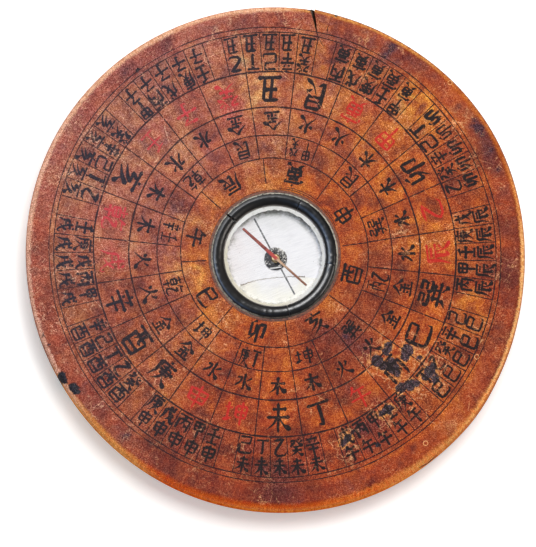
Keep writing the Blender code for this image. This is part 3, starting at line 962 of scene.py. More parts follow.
class Wood:
    """The finish of the lacquered wood, worked out once for each material that shows it."""

    def __init__(self, f):
        self.f = f
        self.east = f.place.part("X")
        self.north = f.place.part("Y")
        self.broad = f.noise(30, 2)
        self.patch = f.noise(12, 3, 0.5, 0.6)
        self.mottle = f.noise(5.0, 3, 0.55, 0.6)
        self.grain = f.noise(1.6, 3, 0.65, 0.3)
        self.speck = f.noise(0.50, 2, 0.8)
        self.edge = f.attribute("edge")
        self.rim = self.edge.fall(5.8, 7.8)
        self.fibres = self.edge_fibres()
        # the left side, where the lacquer is hazed and painted sheen of light from the left is laid
        self.left = (self.east * -1 + self.north * 0.35 + self.broad * 10).rise(-8, 66)
        self.warm = (self.east * 0.87 - self.north * 0.5 + self.broad * 8).rise(-15, 25)
        self.near = (self.east * -0.45 - self.north * 0.89 + self.broad * 8).rise(0, 45)
        self.colour = self.lacquer()
        self.hair = self.hair_mask()
        self.over(self.hair, f.mix(self.left, PALE_HAIR, HAIR_HAZE_AND_SHEEN))
        self.rubbed_edge()
        self.stains()
        self.crack_walls()
        self.roughness = self.mottle * 0.04 + self.grain * 0.05 + 0.55
        self.height = self.grain * 0.35 + self.mottle * 0.5 + self.speck * 0.05 + self.fibres * 0.2

    def over(self, factor, colour):
        """Lays a colour over what is there, by a factor."""
        self.colour = self.f.mix(factor, self.colour, colour)

    def toward(self, heading, start, full):
        """Goes from 0 to 1 as the distance from the middle towards a heading grows."""
        east, north = heading_vector(heading)
        return (self.east * float(east) + self.north * float(north)).rise(start, full)

    def edge_fibres(self):
        """Noise drawn out across the edge: fine round the board and five times longer inwards."""
        f = self.f
        plan = f.vector("MULTIPLY", f.place, (1, 1, 0))
        around = f.vector("SCALE", f.vector("NORMALIZE", plan), Scale=BOARD_RADIUS / MM)
        depth = f.node("ShaderNodeCombineXYZ", {}, {"Z": self.edge * 0.2})
        return f.noise(0.8, 3, 0.7, place=f.vector("ADD", around, depth))

    def lacquer(self):
        """A tone from dark to light through two ramps, then hues, a painted sheen veil, blotches, bled ink.
        """
        f = self.f
        radius = f.about(np.zeros(2))[2]
        outer = radius.rise(52.5, 55.5) * radius.fall(66.5, 69.0)
        inner = radius.fall(24, 32)
        rim = self.rim
        tone = (self.broad * 0.04 + self.patch * 0.14 + self.mottle * 0.19 * (rim * -0.45 + 1)
                + self.grain * 0.06 + self.fibres * rim * 0.04 + 0.500)
        tone = tone + f.attribute("gold") * (self.mottle * 0.08 + 0.12) + inner * 0.02
        tone = tone - f.attribute("deep") * (self.mottle * 0.06 + 0.11) - outer * 0.03 - rim * 0.05
        # partly painted sheen: the left takes the hazed and sheened ramp
        colour = f.mix(self.left, f.ramp(tone, *WARM), f.ramp(tone, *HAZE_AND_SHEEN))
        hue = f.noise(9, 3, 0.6) * 0.7 + f.attribute("gold") * 0.4 - rim * 0.5
        colour = f.mix(1.0, colour, f.mix(hue.rise(-0.9, 0.9), REDDISH, GOLDEN), "MULTIPLY")
        # painted sheen: a bluish-grey veil in patches, weaker towards the warm right
        sheen_veil = (f.noise(2.4, 3, 0.65) * 0.8 + f.noise(12, 2) * 0.5).rise(-0.5, 1.1)
        colour = f.mix(sheen_veil * (self.warm * -0.20 + 0.42), colour, SHEEN_VEIL)
        colour = f.mix(self.warm * (rim * -0.45 + 1) + inner * 0.7, colour, SATURATED, "MULTIPLY")
        colour = f.mix(self.near, colour, DEEP_ORANGE, "MULTIPLY")
        colour = f.mix(rim * self.left, colour, RIM_RED, "MULTIPLY")
        blotch = f.attribute("blotch") * (self.mottle * 0.6 + self.grain * 0.5 + 0.8)
        clouds = (self.patch * 0.8 + self.mottle * 0.7).rise(0.30, 1.0) * (rim * 0.38 + outer * 0.25 + 0.04)
        colour = f.mix(blotch * 0.9 + clouds, colour, PURPLE)
        bleed = f.attribute("bleed") * (self.mottle * 0.5 + self.grain * 0.5 + 0.40)
        colour = f.mix(bleed * 0.6, colour, BLEED)
        faded = f.attribute("smudge") * (self.mottle * 0.4 + self.grain * 0.5 + self.speck * 0.3 + 0.55)
        return f.mix(faded, colour, FADED_RED)

    def gritty(self, colour, inked=0.0):
        """Fine dust and wear, even to the eye, less its own mean brightening, and weaker over ink."""
        f = self.f
        amount = (self.rim * (1 - self.left) * -0.08 + 0.33) * (inked * -0.6 + 1)
        fine = f.noise(0.32, 2, 0.9) * amount * (f.noise(10, 2) * 0.25 + 0.9) - GRIT_LOSS
        shown = f.node("ShaderNodeGamma", {}, {"Color": colour, "Gamma": 1 / SCREEN_GAMMA})
        dusty = f.vector("MAXIMUM", f.vector("ADD", shown, fine), (0.02, 0.02, 0.02))
        return f.node("ShaderNodeGamma", {}, {"Color": dusty, "Gamma": SCREEN_GAMMA})

    def hair_lines(self, turn, size, thin):
        """Thin lines where a noise, drawn out along a direction, passes through 0."""
        f = self.f
        axis = {"rotation_type": "Z_AXIS"}
        turned = f.node("ShaderNodeVectorRotate", axis, {"Vector": f.place, "Angle": math.radians(turn)})
        drawn = f.vector("MULTIPLY", turned, (1.0, 0.16, 1.0))
        return abs(f.noise(size, 1, 0.5, place=drawn)).fall(thin, thin * 3)

    def crack_net(self, size, bend):
        """Borders between cells whose places are bent by noise: a net of fine cracks."""
        f = self.f
        shake = f.node("ShaderNodeTexNoise", {}, {"Vector": f.place, "Scale": 0.4, "Detail": 3.0}, "Color")
        shift = f.vector("SCALE", f.vector("SUBTRACT", shake, (0.5, 0.5, 0.5)), Scale=bend)
        return f.cells(size, "DISTANCE_TO_EDGE", f.vector("ADD", f.place, shift)).fall(0.012, 0.045)

    def hair_mask(self):
        """Scratches in two directions, meandering cracks and a net, in patches of their own."""
        f = self.f
        scratches = self.hair_lines(35, 1.3, 0.012) + self.hair_lines(118, 1.5, 0.012)
        scratched = (f.noise(8, 3) + self.grain * 0.5 + self.left * 0.25).rise(0.1, 0.8)
        bent = abs(f.noise(2.6, 2, 0.5, 1.2)).fall(0.010, 0.045)
        cracked = (f.noise(10, 3) + self.rim * 0.4 + self.speck * 0.5).rise(0.45, 1.0)
        net = self.crack_net(4.4, 6.0)
        near_blots = f.attribute("lifted").rise(-5.0, -1.5)
        netted = (f.noise(11, 2) + self.left * 0.10 + near_blots * 1.2 + self.grain * 0.4).rise(0.25, 0.8)
        return scratches * scratched * 0.6 + bent * cracked * 0.55 + net * netted * 0.5

    def rubbed_edge(self):
        """Bare wood at the edge in inward fibres, with a look of its own all round, partly painted light."""
        f = self.f
        flame = (self.fibres + self.speck * 0.5).rise(-0.8, 0.8)
        ragged = self.speck * 0.2 + self.patch * 0.25
        under = (self.edge + self.fibres * 0.6 + ragged).fall(1.2, 2.6) * self.toward(100, 64, 70)
        self.over(under * 0.4, (0.13, 0.026, 0.017))
        streak = self.fibres.rise(0.5, 1.2) * self.edge.fall(1.5, 5.5) * self.toward(138, 58, 70)
        self.over(streak * 0.6, (0.74, 0.38, 0.11))
        # some rows are painted light or a painted highlight as well as bare wood, as listed with the table
        for heading, sector, share, reach, strength, dark, pale in RUBBED:
            worn = (self.edge + self.fibres * share + ragged).fall(*reach) * self.toward(heading, *sector)
            self.over(worn * strength, f.mix(flame, dark, pale))
        # painted highlight: a pink-white line along the left rounding, with the lacquer's haze in it
        haze_and_highlight_line = (abs(self.edge - 0.75) + self.fibres * 0.4 + self.grain * 0.3).fall(0.3, 0.9)
        haze_and_highlight_colour = f.mix(self.speck.rise(-0.7, 0.8), (0.60, 0.24, 0.15), (1.00, 0.62, 0.47))
        self.over(haze_and_highlight_line * self.toward(268, 54, 66) * 0.85, haze_and_highlight_colour)
        line = (self.edge + self.fibres * 0.1).fall(0.10, 0.50) * (1 - self.near)
        self.over(line * 0.85, (0.46, 0.100, 0.014))
        self.over(line * self.toward(42, 58, 68), (0.20, 0.034, 0.006))

    def stains(self):
        """Dark stains with torn borders; round the blots the lacquer has lifted in orange flakes."""
        f = self.f
        torn = f.noise(1.7, 4, 0.75) * 0.75 + self.mottle * 0.25
        halo = (f.attribute("lifted") + torn).rise(-1.1, -0.3) * f.noise(1.6, 3, 0.7).rise(-0.6, 0.4)
        flake = f.mix(self.speck.rise(-0.6, 0.7), (0.50, 0.140, 0.022), (0.86, 0.44, 0.13))
        self.over(halo * 0.8, flake)
        inside = f.attribute("stain") + torn
        flaking = f.attribute("lifted").rise(-0.8, 0.0)
        worn = (f.noise(1.1, 4, 0.8) + self.speck * 0.4).rise(-0.3, 1.0)
        dark = f.mix(worn * flaking, (0.013, 0.009, 0.013), (0.125, 0.055, 0.072))
        dark = f.mix(self.crack_net(1.5, 3.0) * flaking * 0.3, dark, (0.26, 0.15, 0.11))
        dark = f.mix(f.noise(0.6, 3, 0.8).rise(0.55, 0.85) * 0.6, dark, (0.30, 0.30, 0.36))
        self.over(inside.rise(-0.22, 0.18), dark)

    def crack_walls(self):
        """Raw wood in the cracks: dusty near the face, and darkened further down as painted shade."""
        depth = self.f.attribute("depth")
        dusty, dark = (0.17, 0.085, 0.045), (0.016, 0.009, 0.006)
        # painted shade: the walls grow darker with depth below the face
        self.over(depth.rise(0.05, 0.35), self.f.mix((depth + self.grain * 0.8).rise(0.4, 2.6), dusty, dark))


def wood_material():
    """The face keeps a faint sheen. The side, seen at a grazing angle, is matt."""
    f = Finish("lacquered_wood_worn")
    wood = Wood(f)
    shared = {"colour": wood.gritty(wood.colour), "roughness": wood.roughness,
              "Normal": f.bump(wood.height, WOOD_RELIEF)}
    face = f.surface(Specular_IOR_Level=FACE_SHEEN, **shared)
    side = f.surface(Specular_IOR_Level=0.0, **shared)
    return f.done(f.node("ShaderNodeMixShader", {}, {0: wood.edge.fall(-0.5, 0.4), 1: face, 2: side}))


board.data.materials.clear()
board.data.materials.append(wood_material())
place_piece(board, "dial", "lacquered_wood", "board")

# %% [markdown]
# ## Ink on the wood
#
# Ink stands a few hundredths of a millimetre proud of the lacquer. Each brush stroke is a closed
# strip with a crest along its middle and a keel sunk in the wood, and it follows the face. The
# material is the same wood with ink over it, so where the ink has worn away the wood shows.

# %% Strips of ink
INK_EDGE = 0.004 * MM
INK_CREST = 0.022 * MM
INK_KEEL = -0.03 * MM


def strips(lines, widths, ground, edge, crest, keel):
    """Points and faces of strips on a ground, from middle lines (strokes x samples x 2) and widths."""
    side = leftward(lines) * widths[..., None] / 2
    corners = ((lines + side, edge), (lines, crest), (lines - side, edge), (lines, keel))
    points = np.stack([raised(plan, ground(plan) + lift) for plan, lift in corners], axis=2)
    index = np.arange(points.size // 3).reshape(points.shape[:3])
    return points.reshape(-1, 3), np.concatenate(tube_faces(index))


def inked(name, batches, finish):
    """One piece from batches of (lines, widths, ink), where ink is the strength of each stroke."""
    points, faces, across, ink = [], [], [], []
    first = 0
    for lines, widths, strength in batches:
        new_points, new_faces = strips(lines, widths, face_height, INK_EDGE, INK_CREST, INK_KEEL)
        points.append(new_points)
        faces.append(new_faces + first)
        first += len(new_points)
        across.append(np.tile([-1.0, 0.0, 1.0, 0.0], lines.shape[0] * lines.shape[1]))
        ink.append(np.repeat(strength, lines.shape[1] * 4))
    piece = add_piece(name, np.concatenate(points), np.concatenate(faces), [], finish)
    write_attribute(piece, "across", np.concatenate(across))
    write_attribute(piece, "ink", np.concatenate(ink))
    write_fields(piece)
    return place_piece(piece, "dial", "lacquered_wood")


print("strip of ink:", INK_CREST / MM, "mm proud")

# %% Ink over the wood
def ink_material(name, fresh, haze_and_sheen_tint, hold):
    """The wood with ink over it, worn in patches and along hair cracks, ragged at its sides."""
    f = Finish(name)
    wood = Wood(f)
    fine = f.noise(0.6, 3, 0.75)
    patchy = f.noise(2.4, 3, 0.65)
    side = 1 - abs(f.attribute("across"))
    cover = (side * 1.5 + fine * 0.30 - 0.02).rise(0.0, 0.30)
    worn = (f.attribute("ink") + fine * 0.22 + patchy * 0.25 - (1 - hold)).rise(0.0, 0.45)
    # on the left the ink takes a tint that is partly haze and partly painted sheen of light from the left
    tint = f.mix(wood.left, fresh, haze_and_sheen_tint)
    tint = f.mix(wood.speck.rise(0.3, 1.2) * 0.30, tint, f.mix(0.5, wood.colour, tint))
    mask = cover * worn * (1 - wood.hair * 0.8)
    colour = wood.gritty(f.mix(mask, wood.colour, tint), mask)
    return f.done(f.surface(colour, wood.roughness, Specular_IOR_Level=FACE_SHEEN,
                            Normal=f.bump(wood.height, WOOD_RELIEF)))


black_ink = ink_material("black_ink", (0.011, 0.005, 0.004), (0.018, 0.013, 0.022), 0.93)
line_ink = ink_material("line_ink", (0.020, 0.006, 0.006), (0.038, 0.014, 0.018), 0.82)
red_ink = ink_material("red_ink", (0.50, 0.020, 0.010), (0.52, 0.050, 0.065), 0.68)
scratch_dust = ink_material("scratch_dust", (0.74, 0.36, 0.14), (0.76, 0.48, 0.35), 0.62)
print("inks:", black_ink.name, line_ink.name, red_ink.name, scratch_dust.name)

# %% [markdown]
# ## Ring lines and spokes
#
# The lines were ruled with a pen and dividers, so they are thin and even, with small wobbles in
# place and width. A ring's line laps over its own start, as a hand-drawn circle does.

# %% Ring lines
RING_WIDTHS = (0.34, 0.38, 0.58, 0.54, 0.40, 0.40)      # from the outermost ring
RING_SAMPLES = 420
RING_OVERLAP = 1.5       # in degrees
RING_DRIFT = 0.05        # in millimetres
RING_SWELL = 0.16
RING_INK = np.array([0.86])


def ring_lines():
    """A line for each ring: its radius drifts and its width swells by slow wobbles."""
    heading = np.linspace(-RING_OVERLAP, 360 + RING_OVERLAP, RING_SAMPLES)
    for number, (radius, width) in enumerate(zip(RING_RADII.values(), RING_WIDTHS)):
        drift = wobble(heading, range(3, 22, 3), 20 + number) * RING_DRIFT
        swell = 1 + RING_SWELL * wobble(heading, range(7, 90, 6), 30 + number)
        yield dial_point(heading, (radius + drift) * MM)[None], width * MM * swell[None], RING_INK


inked("ring_lines", list(ring_lines()), line_ink)

# %% Spokes
SPOKE_SAMPLES = 24
SPOKE_DRIFT = 0.12       # in degrees
SPOKE_SWELL = 0.18
SPOKE_INK = (0.65, 0.95)
FIRST_SPOKE = 6.2
INNER_SPOKES = (-6.8, 36.3, 81.3, 125.5, 171.0, 220.0, 266.7, 311.7)


def spokes(headings, inner, outer, width, seed):
    """Straight lines between two radii at some headings, each a little off its true heading."""
    draw = np.random.default_rng(seed)
    headings = np.asarray(headings, float)
    tilt = draw.normal(0, SPOKE_DRIFT, (len(headings), 2))
    share = np.linspace(0, 1, SPOKE_SAMPLES)
    radius = inner + (outer - inner) * share
    turn = headings[:, None] + tilt[:, :1] + (tilt[:, 1:] - tilt[:, :1]) * share
    lines = dial_point(turn, np.broadcast_to(radius, turn.shape))
    waver = 1 + SPOKE_SWELL * wobble(share * 360 + headings[:, None] * 7, range(1, 9), seed)
    return lines, width * waver, draw.uniform(*SPOKE_INK, len(headings))


def spoke_batches():
    rings = {name: radius * MM for name, radius in RING_RADII.items()}
    mountains = FIRST_SPOKE + 15.0 * np.arange(24)
    yield spokes(mountains, rings["F"], rings["C"], 0.40 * MM, 41)
    branches = 30.0 * np.arange(12) + DIAL_TURN
    columns = (branches[:, None] + np.arange(-12.5, 13, 5.0)).ravel()
    yield spokes(columns, rings["C"], rings["B"], 0.34 * MM, 42)
    yield spokes(INNER_SPOKES, WELL_MOUTH + 0.8 * MM, rings["F"], 0.36 * MM, 43)


inked("spoke_lines", list(spoke_batches()), line_ink)

# %% [markdown]
# ## A brush hand
#
# The signs are written in a hand made up for this lesson. A sign is a few strokes on a square of
# 100 units, x to the right and y down. A stroke starts with a letter for the way that the brush
# presses: h and v for level and upright strokes, p for one that thins to the lower left, n for one
# that swells to the lower right, d for a dot, k for a turning stroke and g for one with a flicked
# end. A point given twice is a sharp corner.

# %% The signs
SIGNS = {
    "甲": "v 22,12 25,54; k 22,14 80,12 80,12 76,54; h 24,33 78,32; h 24,53 77,52; v 50,13 50,98",
    "乙": "g 18,20 78,15 78,15 42,48 22,70 22,86 42,91 78,90 90,76",
    "丙": "h 12,15 88,13; v 22,34 22,94; g 22,36 82,34 82,34 82,92 72,86; p 50,15 47,50 32,74; "
         "n 50,46 60,58 70,72",
    "丁": "h 12,18 90,15; g 52,18 52,90 52,90 36,82",
    "戊": "p 28,28 26,60 12,94; h 26,29 80,26; g 50,6 58,50 78,86 92,92 92,76; p 80,46 64,66 42,84; "
         "d 70,8 82,19",
    "己": "k 18,14 80,12 80,12 76,48; h 22,48 77,46; g 20,48 18,82 26,92 80,90 88,86 88,70",
    "庚": "d 50,3 56,12; h 18,18 88,16; p 20,18 20,60 6,96; k 34,31 75,30 75,30 73,58; h 24,45 88,43; "
         "h 34,59 75,58; p 53,22 53,60 42,80 24,96; n 54,60 68,80 92,95",
    "辛": "d 50,3 54,13; h 22,20 80,18; d 36,26 42,38; p 66,25 58,40; h 12,46 90,44; h 24,66 78,65; "
         "v 50,46 50,98",
    "壬": "p 70,6 52,14 24,20; h 10,48 92,46; v 50,18 50,88; h 20,90 82,88",
    "癸": "k 14,16 42,14 42,14 32,32 10,46; d 20,26 30,36; p 70,6 60,18; p 86,14 68,28; "
         "n 52,10 68,32 92,46; h 30,50 70,49; h 20,66 80,65; p 50,50 44,78 14,97; n 52,66 66,84 90,96",
    "子": "k 22,14 76,13 76,13 54,34; g 52,34 56,60 54,92 54,92 38,84; h 8,53 94,50",
    "丑": "k 24,14 76,12 76,12 70,88; v 48,14 40,88; h 26,50 72,48; h 8,90 94,88",
    "寅": "d 50,2 54,10; d 16,18 13,32; k 16,18 88,16 88,16 80,28; h 28,34 74,33; v 24,46 25,76; "
         "k 24,46 78,45 78,45 76,76; h 25,61 77,60; h 25,76 77,75; v 50,34 50,76; p 38,80 28,90 14,98; "
         "n 62,80 74,88 88,97",
    "卯": "p 44,8 24,20; g 22,18 22,74 22,74 46,58; p 46,24 44,60 20,96; "
         "g 60,22 88,20 88,20 86,74 86,74 74,66; v 60,20 60,98",
    "辰": "h 18,12 86,10; p 20,12 20,54 6,96; h 34,28 74,27; h 30,44 90,42; g 42,44 42,90 42,90 58,78; "
         "p 84,54 66,66; n 56,44 68,74 94,94",
    "巳": "k 22,12 76,10 76,10 74,44; h 24,44 74,42; g 22,12 20,80 30,92 80,90 88,86 88,70",
    "午": "p 36,4 28,22 14,38; h 32,24 80,22; h 8,55 94,52; v 53,24 52,98",
    "未": "h 26,24 76,22; h 10,46 90,44; v 50,4 50,98; p 48,46 34,68 8,88; n 52,46 66,68 94,86",
    "申": "v 20,20 23,70; k 20,22 82,20 82,20 78,70; h 22,46 80,44; h 23,69 78,68; v 50,2 50,99",
    "酉": "h 8,14 92,12; v 18,34 20,94; k 18,36 84,34 84,34 82,94; p 40,14 40,40 32,56; "
         "g 60,14 60,50 76,54; h 22,70 80,69; h 20,92 82,91",
    "戌": "p 26,27 24,60 10,94; h 26,28 82,25; h 32,50 56,49; g 52,6 58,50 78,86 92,90 92,74; "
         "p 82,44 66,64 44,82; d 70,6 82,17",
    "亥": "d 50,2 56,12; h 10,20 92,18; g 46,20 28,42 28,42 62,38; p 66,34 44,58 12,76; "
         "p 78,48 54,76 20,98; n 58,66 72,82 92,96",
    "乾": "h 6,16 48,15; v 27,3 27,30; v 12,31 13,62; k 12,31 44,30 44,30 42,62; h 13,46 43,45; "
         "h 13,61 43,60; h 4,76 50,75; v 27,62 27,98; p 70,4 62,18 52,34; h 64,18 95,17; "
         "g 58,40 88,38 88,38 62,66 56,84 66,92 92,90 96,76",
    "坤": "h 6,36 36,35; v 21,12 21,76; d 38,68 4,80; v 50,25 51,66; k 50,25 90,24 90,24 88,66; "
         "h 51,45 89,44; h 51,65 88,64; v 70,4 70,98",
    "艮": "k 24,10 76,8 76,8 74,46; h 26,28 75,27; h 26,46 74,45; g 24,10 24,90 24,90 46,76; "
         "p 82,54 62,66; n 46,48 64,76 94,94",
    "巽": "k 10,8 42,7 42,7 40,24; h 11,24 40,23; g 10,24 10,38 42,38 45,30; k 56,8 88,7 88,7 86,24; "
         "h 57,24 86,23; g 56,24 56,38 88,38 92,29; h 20,54 82,53; h 6,74 96,72; v 36,44 36,73; "
         "v 66,44 66,73; p 36,78 28,88 12,98; n 62,78 74,87 90,97",
    "金": "p 50,2 34,24 4,46; n 50,3 68,26 96,46; h 30,44 70,43; h 24,62 76,61; v 50,44 50,90; "
         "d 26,70 34,82; d 74,68 64,82; h 10,94 92,92",
    "木": "h 10,34 90,32; v 50,4 50,98; p 48,34 34,62 6,84; n 52,34 66,60 96,82",
    "水": "g 52,4 52,92 52,92 40,84; k 12,32 38,30 38,30 30,54 6,80; p 86,22 72,34 58,44; "
         "n 54,42 68,66 96,86",
    "火": "d 20,30 32,50; p 82,22 74,38 64,48; p 50,6 48,50 8,96; n 50,46 64,72 96,94",
}
SAMPLES = 12


def press(kind, share):
    """The brush's width along a stroke, as a share of its full width."""
    start = np.exp(-((share - 0.04) / 0.12) ** 2)
    end = np.exp(-((share - 0.94) / 0.12) ** 2)
    steady = {
        "h": 0.72 + 0.25 * start + 0.42 * end,
        "v": 0.88 + 0.28 * start + 0.05 * end,
        "p": 1.16 - 1.0 * share ** 1.4,
        "n": 0.42 + 1.0 * np.exp(-((share - 0.78) / 0.22) ** 2),
        "d": 0.35 + 1.1 * np.sin(np.pi * share ** 1.4),
        "k": 0.86 + 0.2 * start - 0.15 * share,
        "g": 0.98 + 0.15 * start - 0.6 * share ** 6,
    }[kind]
    rounding = np.sqrt(np.clip(1 - (1 - np.minimum(share, 1 - share) / 0.07) ** 2, 0, 1))
    rounding[np.minimum(share, 1 - share) > 0.07] = 1
    return steady * np.maximum(rounding, 0.3)


def smooth_line(points):
    """Even samples along a curve through some points, with tangents from each point's neighbours."""
    padded = np.concatenate([points[:1], points, points[-1:]])
    moving = np.linalg.norm(np.diff(points, axis=0), axis=1) > 0
    before, here, after, beyond = (padded[i:len(padded) - 3 + i][moving][:, None] for i in range(4))
    leave = (after - before) / 2
    arrive = (beyond - here) / 2
    t = np.linspace(0, 1, 9)[:, None]
    fine = (here * (2 * t ** 3 - 3 * t ** 2 + 1) + after * (3 * t ** 2 - 2 * t ** 3)
            + leave * (t ** 3 - 2 * t ** 2 + t) + arrive * (t ** 3 - t ** 2)).reshape(-1, 2)
    run = np.concatenate([[0], np.cumsum(np.linalg.norm(np.diff(fine, axis=0), axis=1))])
    even = np.linspace(0, run[-1], SAMPLES)
    return np.stack([np.interp(even, run, fine[:, axis]) for axis in (0, 1)], axis=-1)


def written(text):
    """A sign's strokes, as middle lines about its own middle, y up, and their widths."""
    lines, widths = [], []
    for stroke in text.split(";"):
        kind, *pairs = stroke.split()
        points = np.array([pair.split(",") for pair in pairs], float)
        lines.append((smooth_line(points) - 50) * (0.01, -0.01))
        length = np.linalg.norm(np.diff(points, axis=0), axis=1).sum() / 100
        widths.append(press(kind, np.linspace(0, 1, SAMPLES)) * min(1.0, 0.55 + length))
    return np.array(lines), np.array(widths)


HAND = {sign: written(text) for sign, text in SIGNS.items()}
print("signs:", len(HAND), "strokes:", sum(len(lines) for lines, _ in HAND.values()))

# %% Writing signs round the dial
HAND_LEAN = 2.5          # spread of the lean of a sign, in degrees
HAND_SCALE = 0.05        # of its size
HAND_PRESS = 0.07        # of its brush width
HAND_DRIFT = 0.12 * MM
STROKE_DRIFT = 0.012     # of a stroke's place, as a share of the sign
STROKE_PRESS = 0.10
LEAST_STROKE = 0.08 * MM
FADE_HEADING = 300.0
FADE_REACH = 40 * MM
FADE_LOSS = 0.15


def write_signs(rows, size, stroke, seed, strength):
    """Batches of strokes for (sign, heading, radius, sideways step), with each sign's top inwards."""
    draw = np.random.default_rng(seed)
    for sign, heading, radius, aside in rows:
        lines, widths = HAND[sign]
        lean = math.radians(draw.normal(0, HAND_LEAN))
        spin = np.array([[math.cos(lean), math.sin(lean)], [-math.sin(lean), math.cos(lean)]])
        scale = np.array(size) * MM * draw.normal(1, HAND_SCALE, 2)
        local = lines @ spin * scale + draw.normal(0, HAND_DRIFT, 2)
        local += draw.normal(0, STROKE_DRIFT, (len(lines), 1, 2)) * scale
        out = heading_vector(heading)
        up, right = -out, np.array([-out[1], out[0]])
        middle_point = dial_point(heading, radius * MM) + right * aside * MM
        plan = middle_point + local[..., :1] * right + local[..., 1:] * up
        width = widths * stroke * MM * draw.normal(1, HAND_PRESS)
        width = width * draw.normal(1, STROKE_PRESS, (len(lines), 1))
        yield plan, np.maximum(width, LEAST_STROKE), np.full(len(lines), draw.uniform(*strength))


def faded(batches):
    """Weakens the ink of batches by how far they lie towards the heading where the red has faded."""
    for plan, width, ink in batches:
        way = plan.reshape(-1, 2).mean(axis=0) - OUTLINE
        share = np.clip((way @ heading_vector(FADE_HEADING)) / FADE_REACH, 0, 1)
        yield plan, width, ink * (1 - FADE_LOSS * share)


for seed, (name, (rows, size, stroke, strength)) in enumerate(WRITING.items()):
    batches = write_signs(rows, size, stroke, 51 + seed, strength)
    red = name == "mountains_red"
    inked(name, list(faded(batches) if red else batches), red_ink if red else black_ink)

# %% [markdown]
# ## Scratches and pits of their own
#
# A few marks are too long or too sharp to come from noise, and each is drawn as a thin strip, as
# the ink is: long scratches and a crease that catch dust, small round pits left by burst bubbles,
# the hair cracks that run on from the split, and two arcs that the dividers left beside the well.

# %% Scratches and pits
SCRATCHES = (   # width in millimetres, and the pixels that it runs through
    (0.38, ((271, 60), (283, 71), (296, 82), (311, 94), (325, 112), (332, 124))),
    (0.24, ((273, 66), (287, 78), (303, 90))),
    (0.34, ((163, 115), (165, 129), (170, 145))),
    (0.28, ((186, 95), (190, 107), (192, 118))),
    (0.28, ((98, 202), (102, 213), (103, 227))),
    (0.26, ((100, 230), (99, 240), (105, 250))),
    (0.26, ((118, 258), (113, 266), (107, 272))),
    (0.26, ((90, 292), (95, 301), (103, 309))),
    (0.52, ((141, 313), (148, 325), (154, 341))),
    (0.30, ((457, 294), (464, 292), (472, 301))),
    (0.26, ((427, 96), (433, 90), (441, 86))),
    (0.26, ((464, 388), (470, 398), (468, 412))),
    (0.24, ((500, 205), (492, 214), (488, 226))),
    (0.30, ((318.6, 38.2), (320.4, 43), (323.4, 47.8))),
)
DARK_HAIRS = (
    (0.38, ((316.4, 30.4), (317.5, 34.5), (318.7, 38.6))),
    (0.22, ((319.0, 38.4), (321.4, 43), (324.2, 47.2))),
    (0.30, ((328.4, 25.6), (327.4, 29), (327.0, 33))),
    (0.30, ((437, 455), (428, 463), (419, 468))),
)
PITS = (   # column, row and radius in pixels
    (425.6, 443.2, 2.3), (476.8, 356.9, 2.3), (450, 82.7, 2.1),
    (365, 98, 0.7), (438, 348, 0.8), (383, 434, 0.8),
)
MARK_SAMPLES = 14
ARC_SAMPLES = 40
ARC_RADII = (20.2, 20.75)        # in millimetres from the well's middle
ARC_WIDTH = 0.24 * MM
PIT_WIDTH = 0.26 * MM


def mark_batch(marks, strength):
    """Smooth strips through pixels, thin at both ends."""
    lines = [stations(photo_place(*np.array(pixels, float).T), MARK_SAMPLES) for _, pixels in marks]
    thin = 0.45 + 0.55 * np.sin(np.pi * np.linspace(0, 1, MARK_SAMPLES)) ** 0.5
    widths = np.array([width * MM for width, _ in marks])
    return np.array(lines), widths[:, None] * thin, np.full(len(marks), strength)


def pit_batch(pits, strength):
    """Small rings: the raised borders of pits."""
    columns, rows, radii = np.array(pits).T
    turn = heading_vector(np.linspace(0, 360, MARK_SAMPLES))
    lines = photo_place(columns, rows)[:, None] + turn * (radii * PIXEL)[:, None, None]
    return lines, np.full(lines.shape[:2], PIT_WIDTH), np.full(len(pits), strength)


def divider_arcs():
    """Two faint arcs beside the well, from dividers that slipped."""
    heading = np.linspace(4, 64, ARC_SAMPLES)
    radius = (np.array(ARC_RADII)[:, None] + wobble(heading, range(3, 30, 4), 77) * RING_DRIFT) * MM
    lines = heading_vector(heading) * radius[..., None] + WELL
    return lines, np.full(radius.shape, ARC_WIDTH), np.array([0.7, 0.5])


inked("dusty_scratches", [mark_batch(SCRATCHES, 0.50), pit_batch(PITS, 0.9)], scratch_dust)
inked("hair_cracks", [mark_batch(DARK_HAIRS, 1.0), divider_arcs()], line_ink)

# %% [markdown]
# ## The black bezel ring
#
# A ring of black lacquered wood or horn holds the glass down. Its section is a half round, wider
# towards the glass, and it has cracked through in four places. Each arc is its section carried
# from one crack to the next. The long highlights on it are mirrored panels, so the slow waver of
# its surface is what makes them look like lacquer. In the photograph the white ring under the
# glass is bright all round, so the arcs cast no shadow here.

# %% Bezel arcs
BEZEL_RADIUS = half_width("bezel_putty") - 0.6 * MM
BEAD = 1.6 * MM
GLASS_RADIUS = half_width("glass_cover")
GLASS_LOW, GLASS_HIGH = levels("glass_cover")
OPENING = GLASS_RADIUS - 1.1 * MM
LIP_UNDER_Z = GLASS_HIGH + ROOM
LIP_Z = LIP_UNDER_Z + 0.6 * MM
BEZEL_LOW_Z, BEZEL_TOP_Z = levels("bezel_arc_1")
CRACK_HEADINGS = (26.0, 99.0, 166.0, 311.0)
CRACK_WIDTHS = (0.10, 0.12, 0.14, 0.50)
BEZEL_WAVER = 0.03 * MM
BROKEN_DEPTH = 0.05 * MM
BROKEN_REACH = 0.35              # in degrees


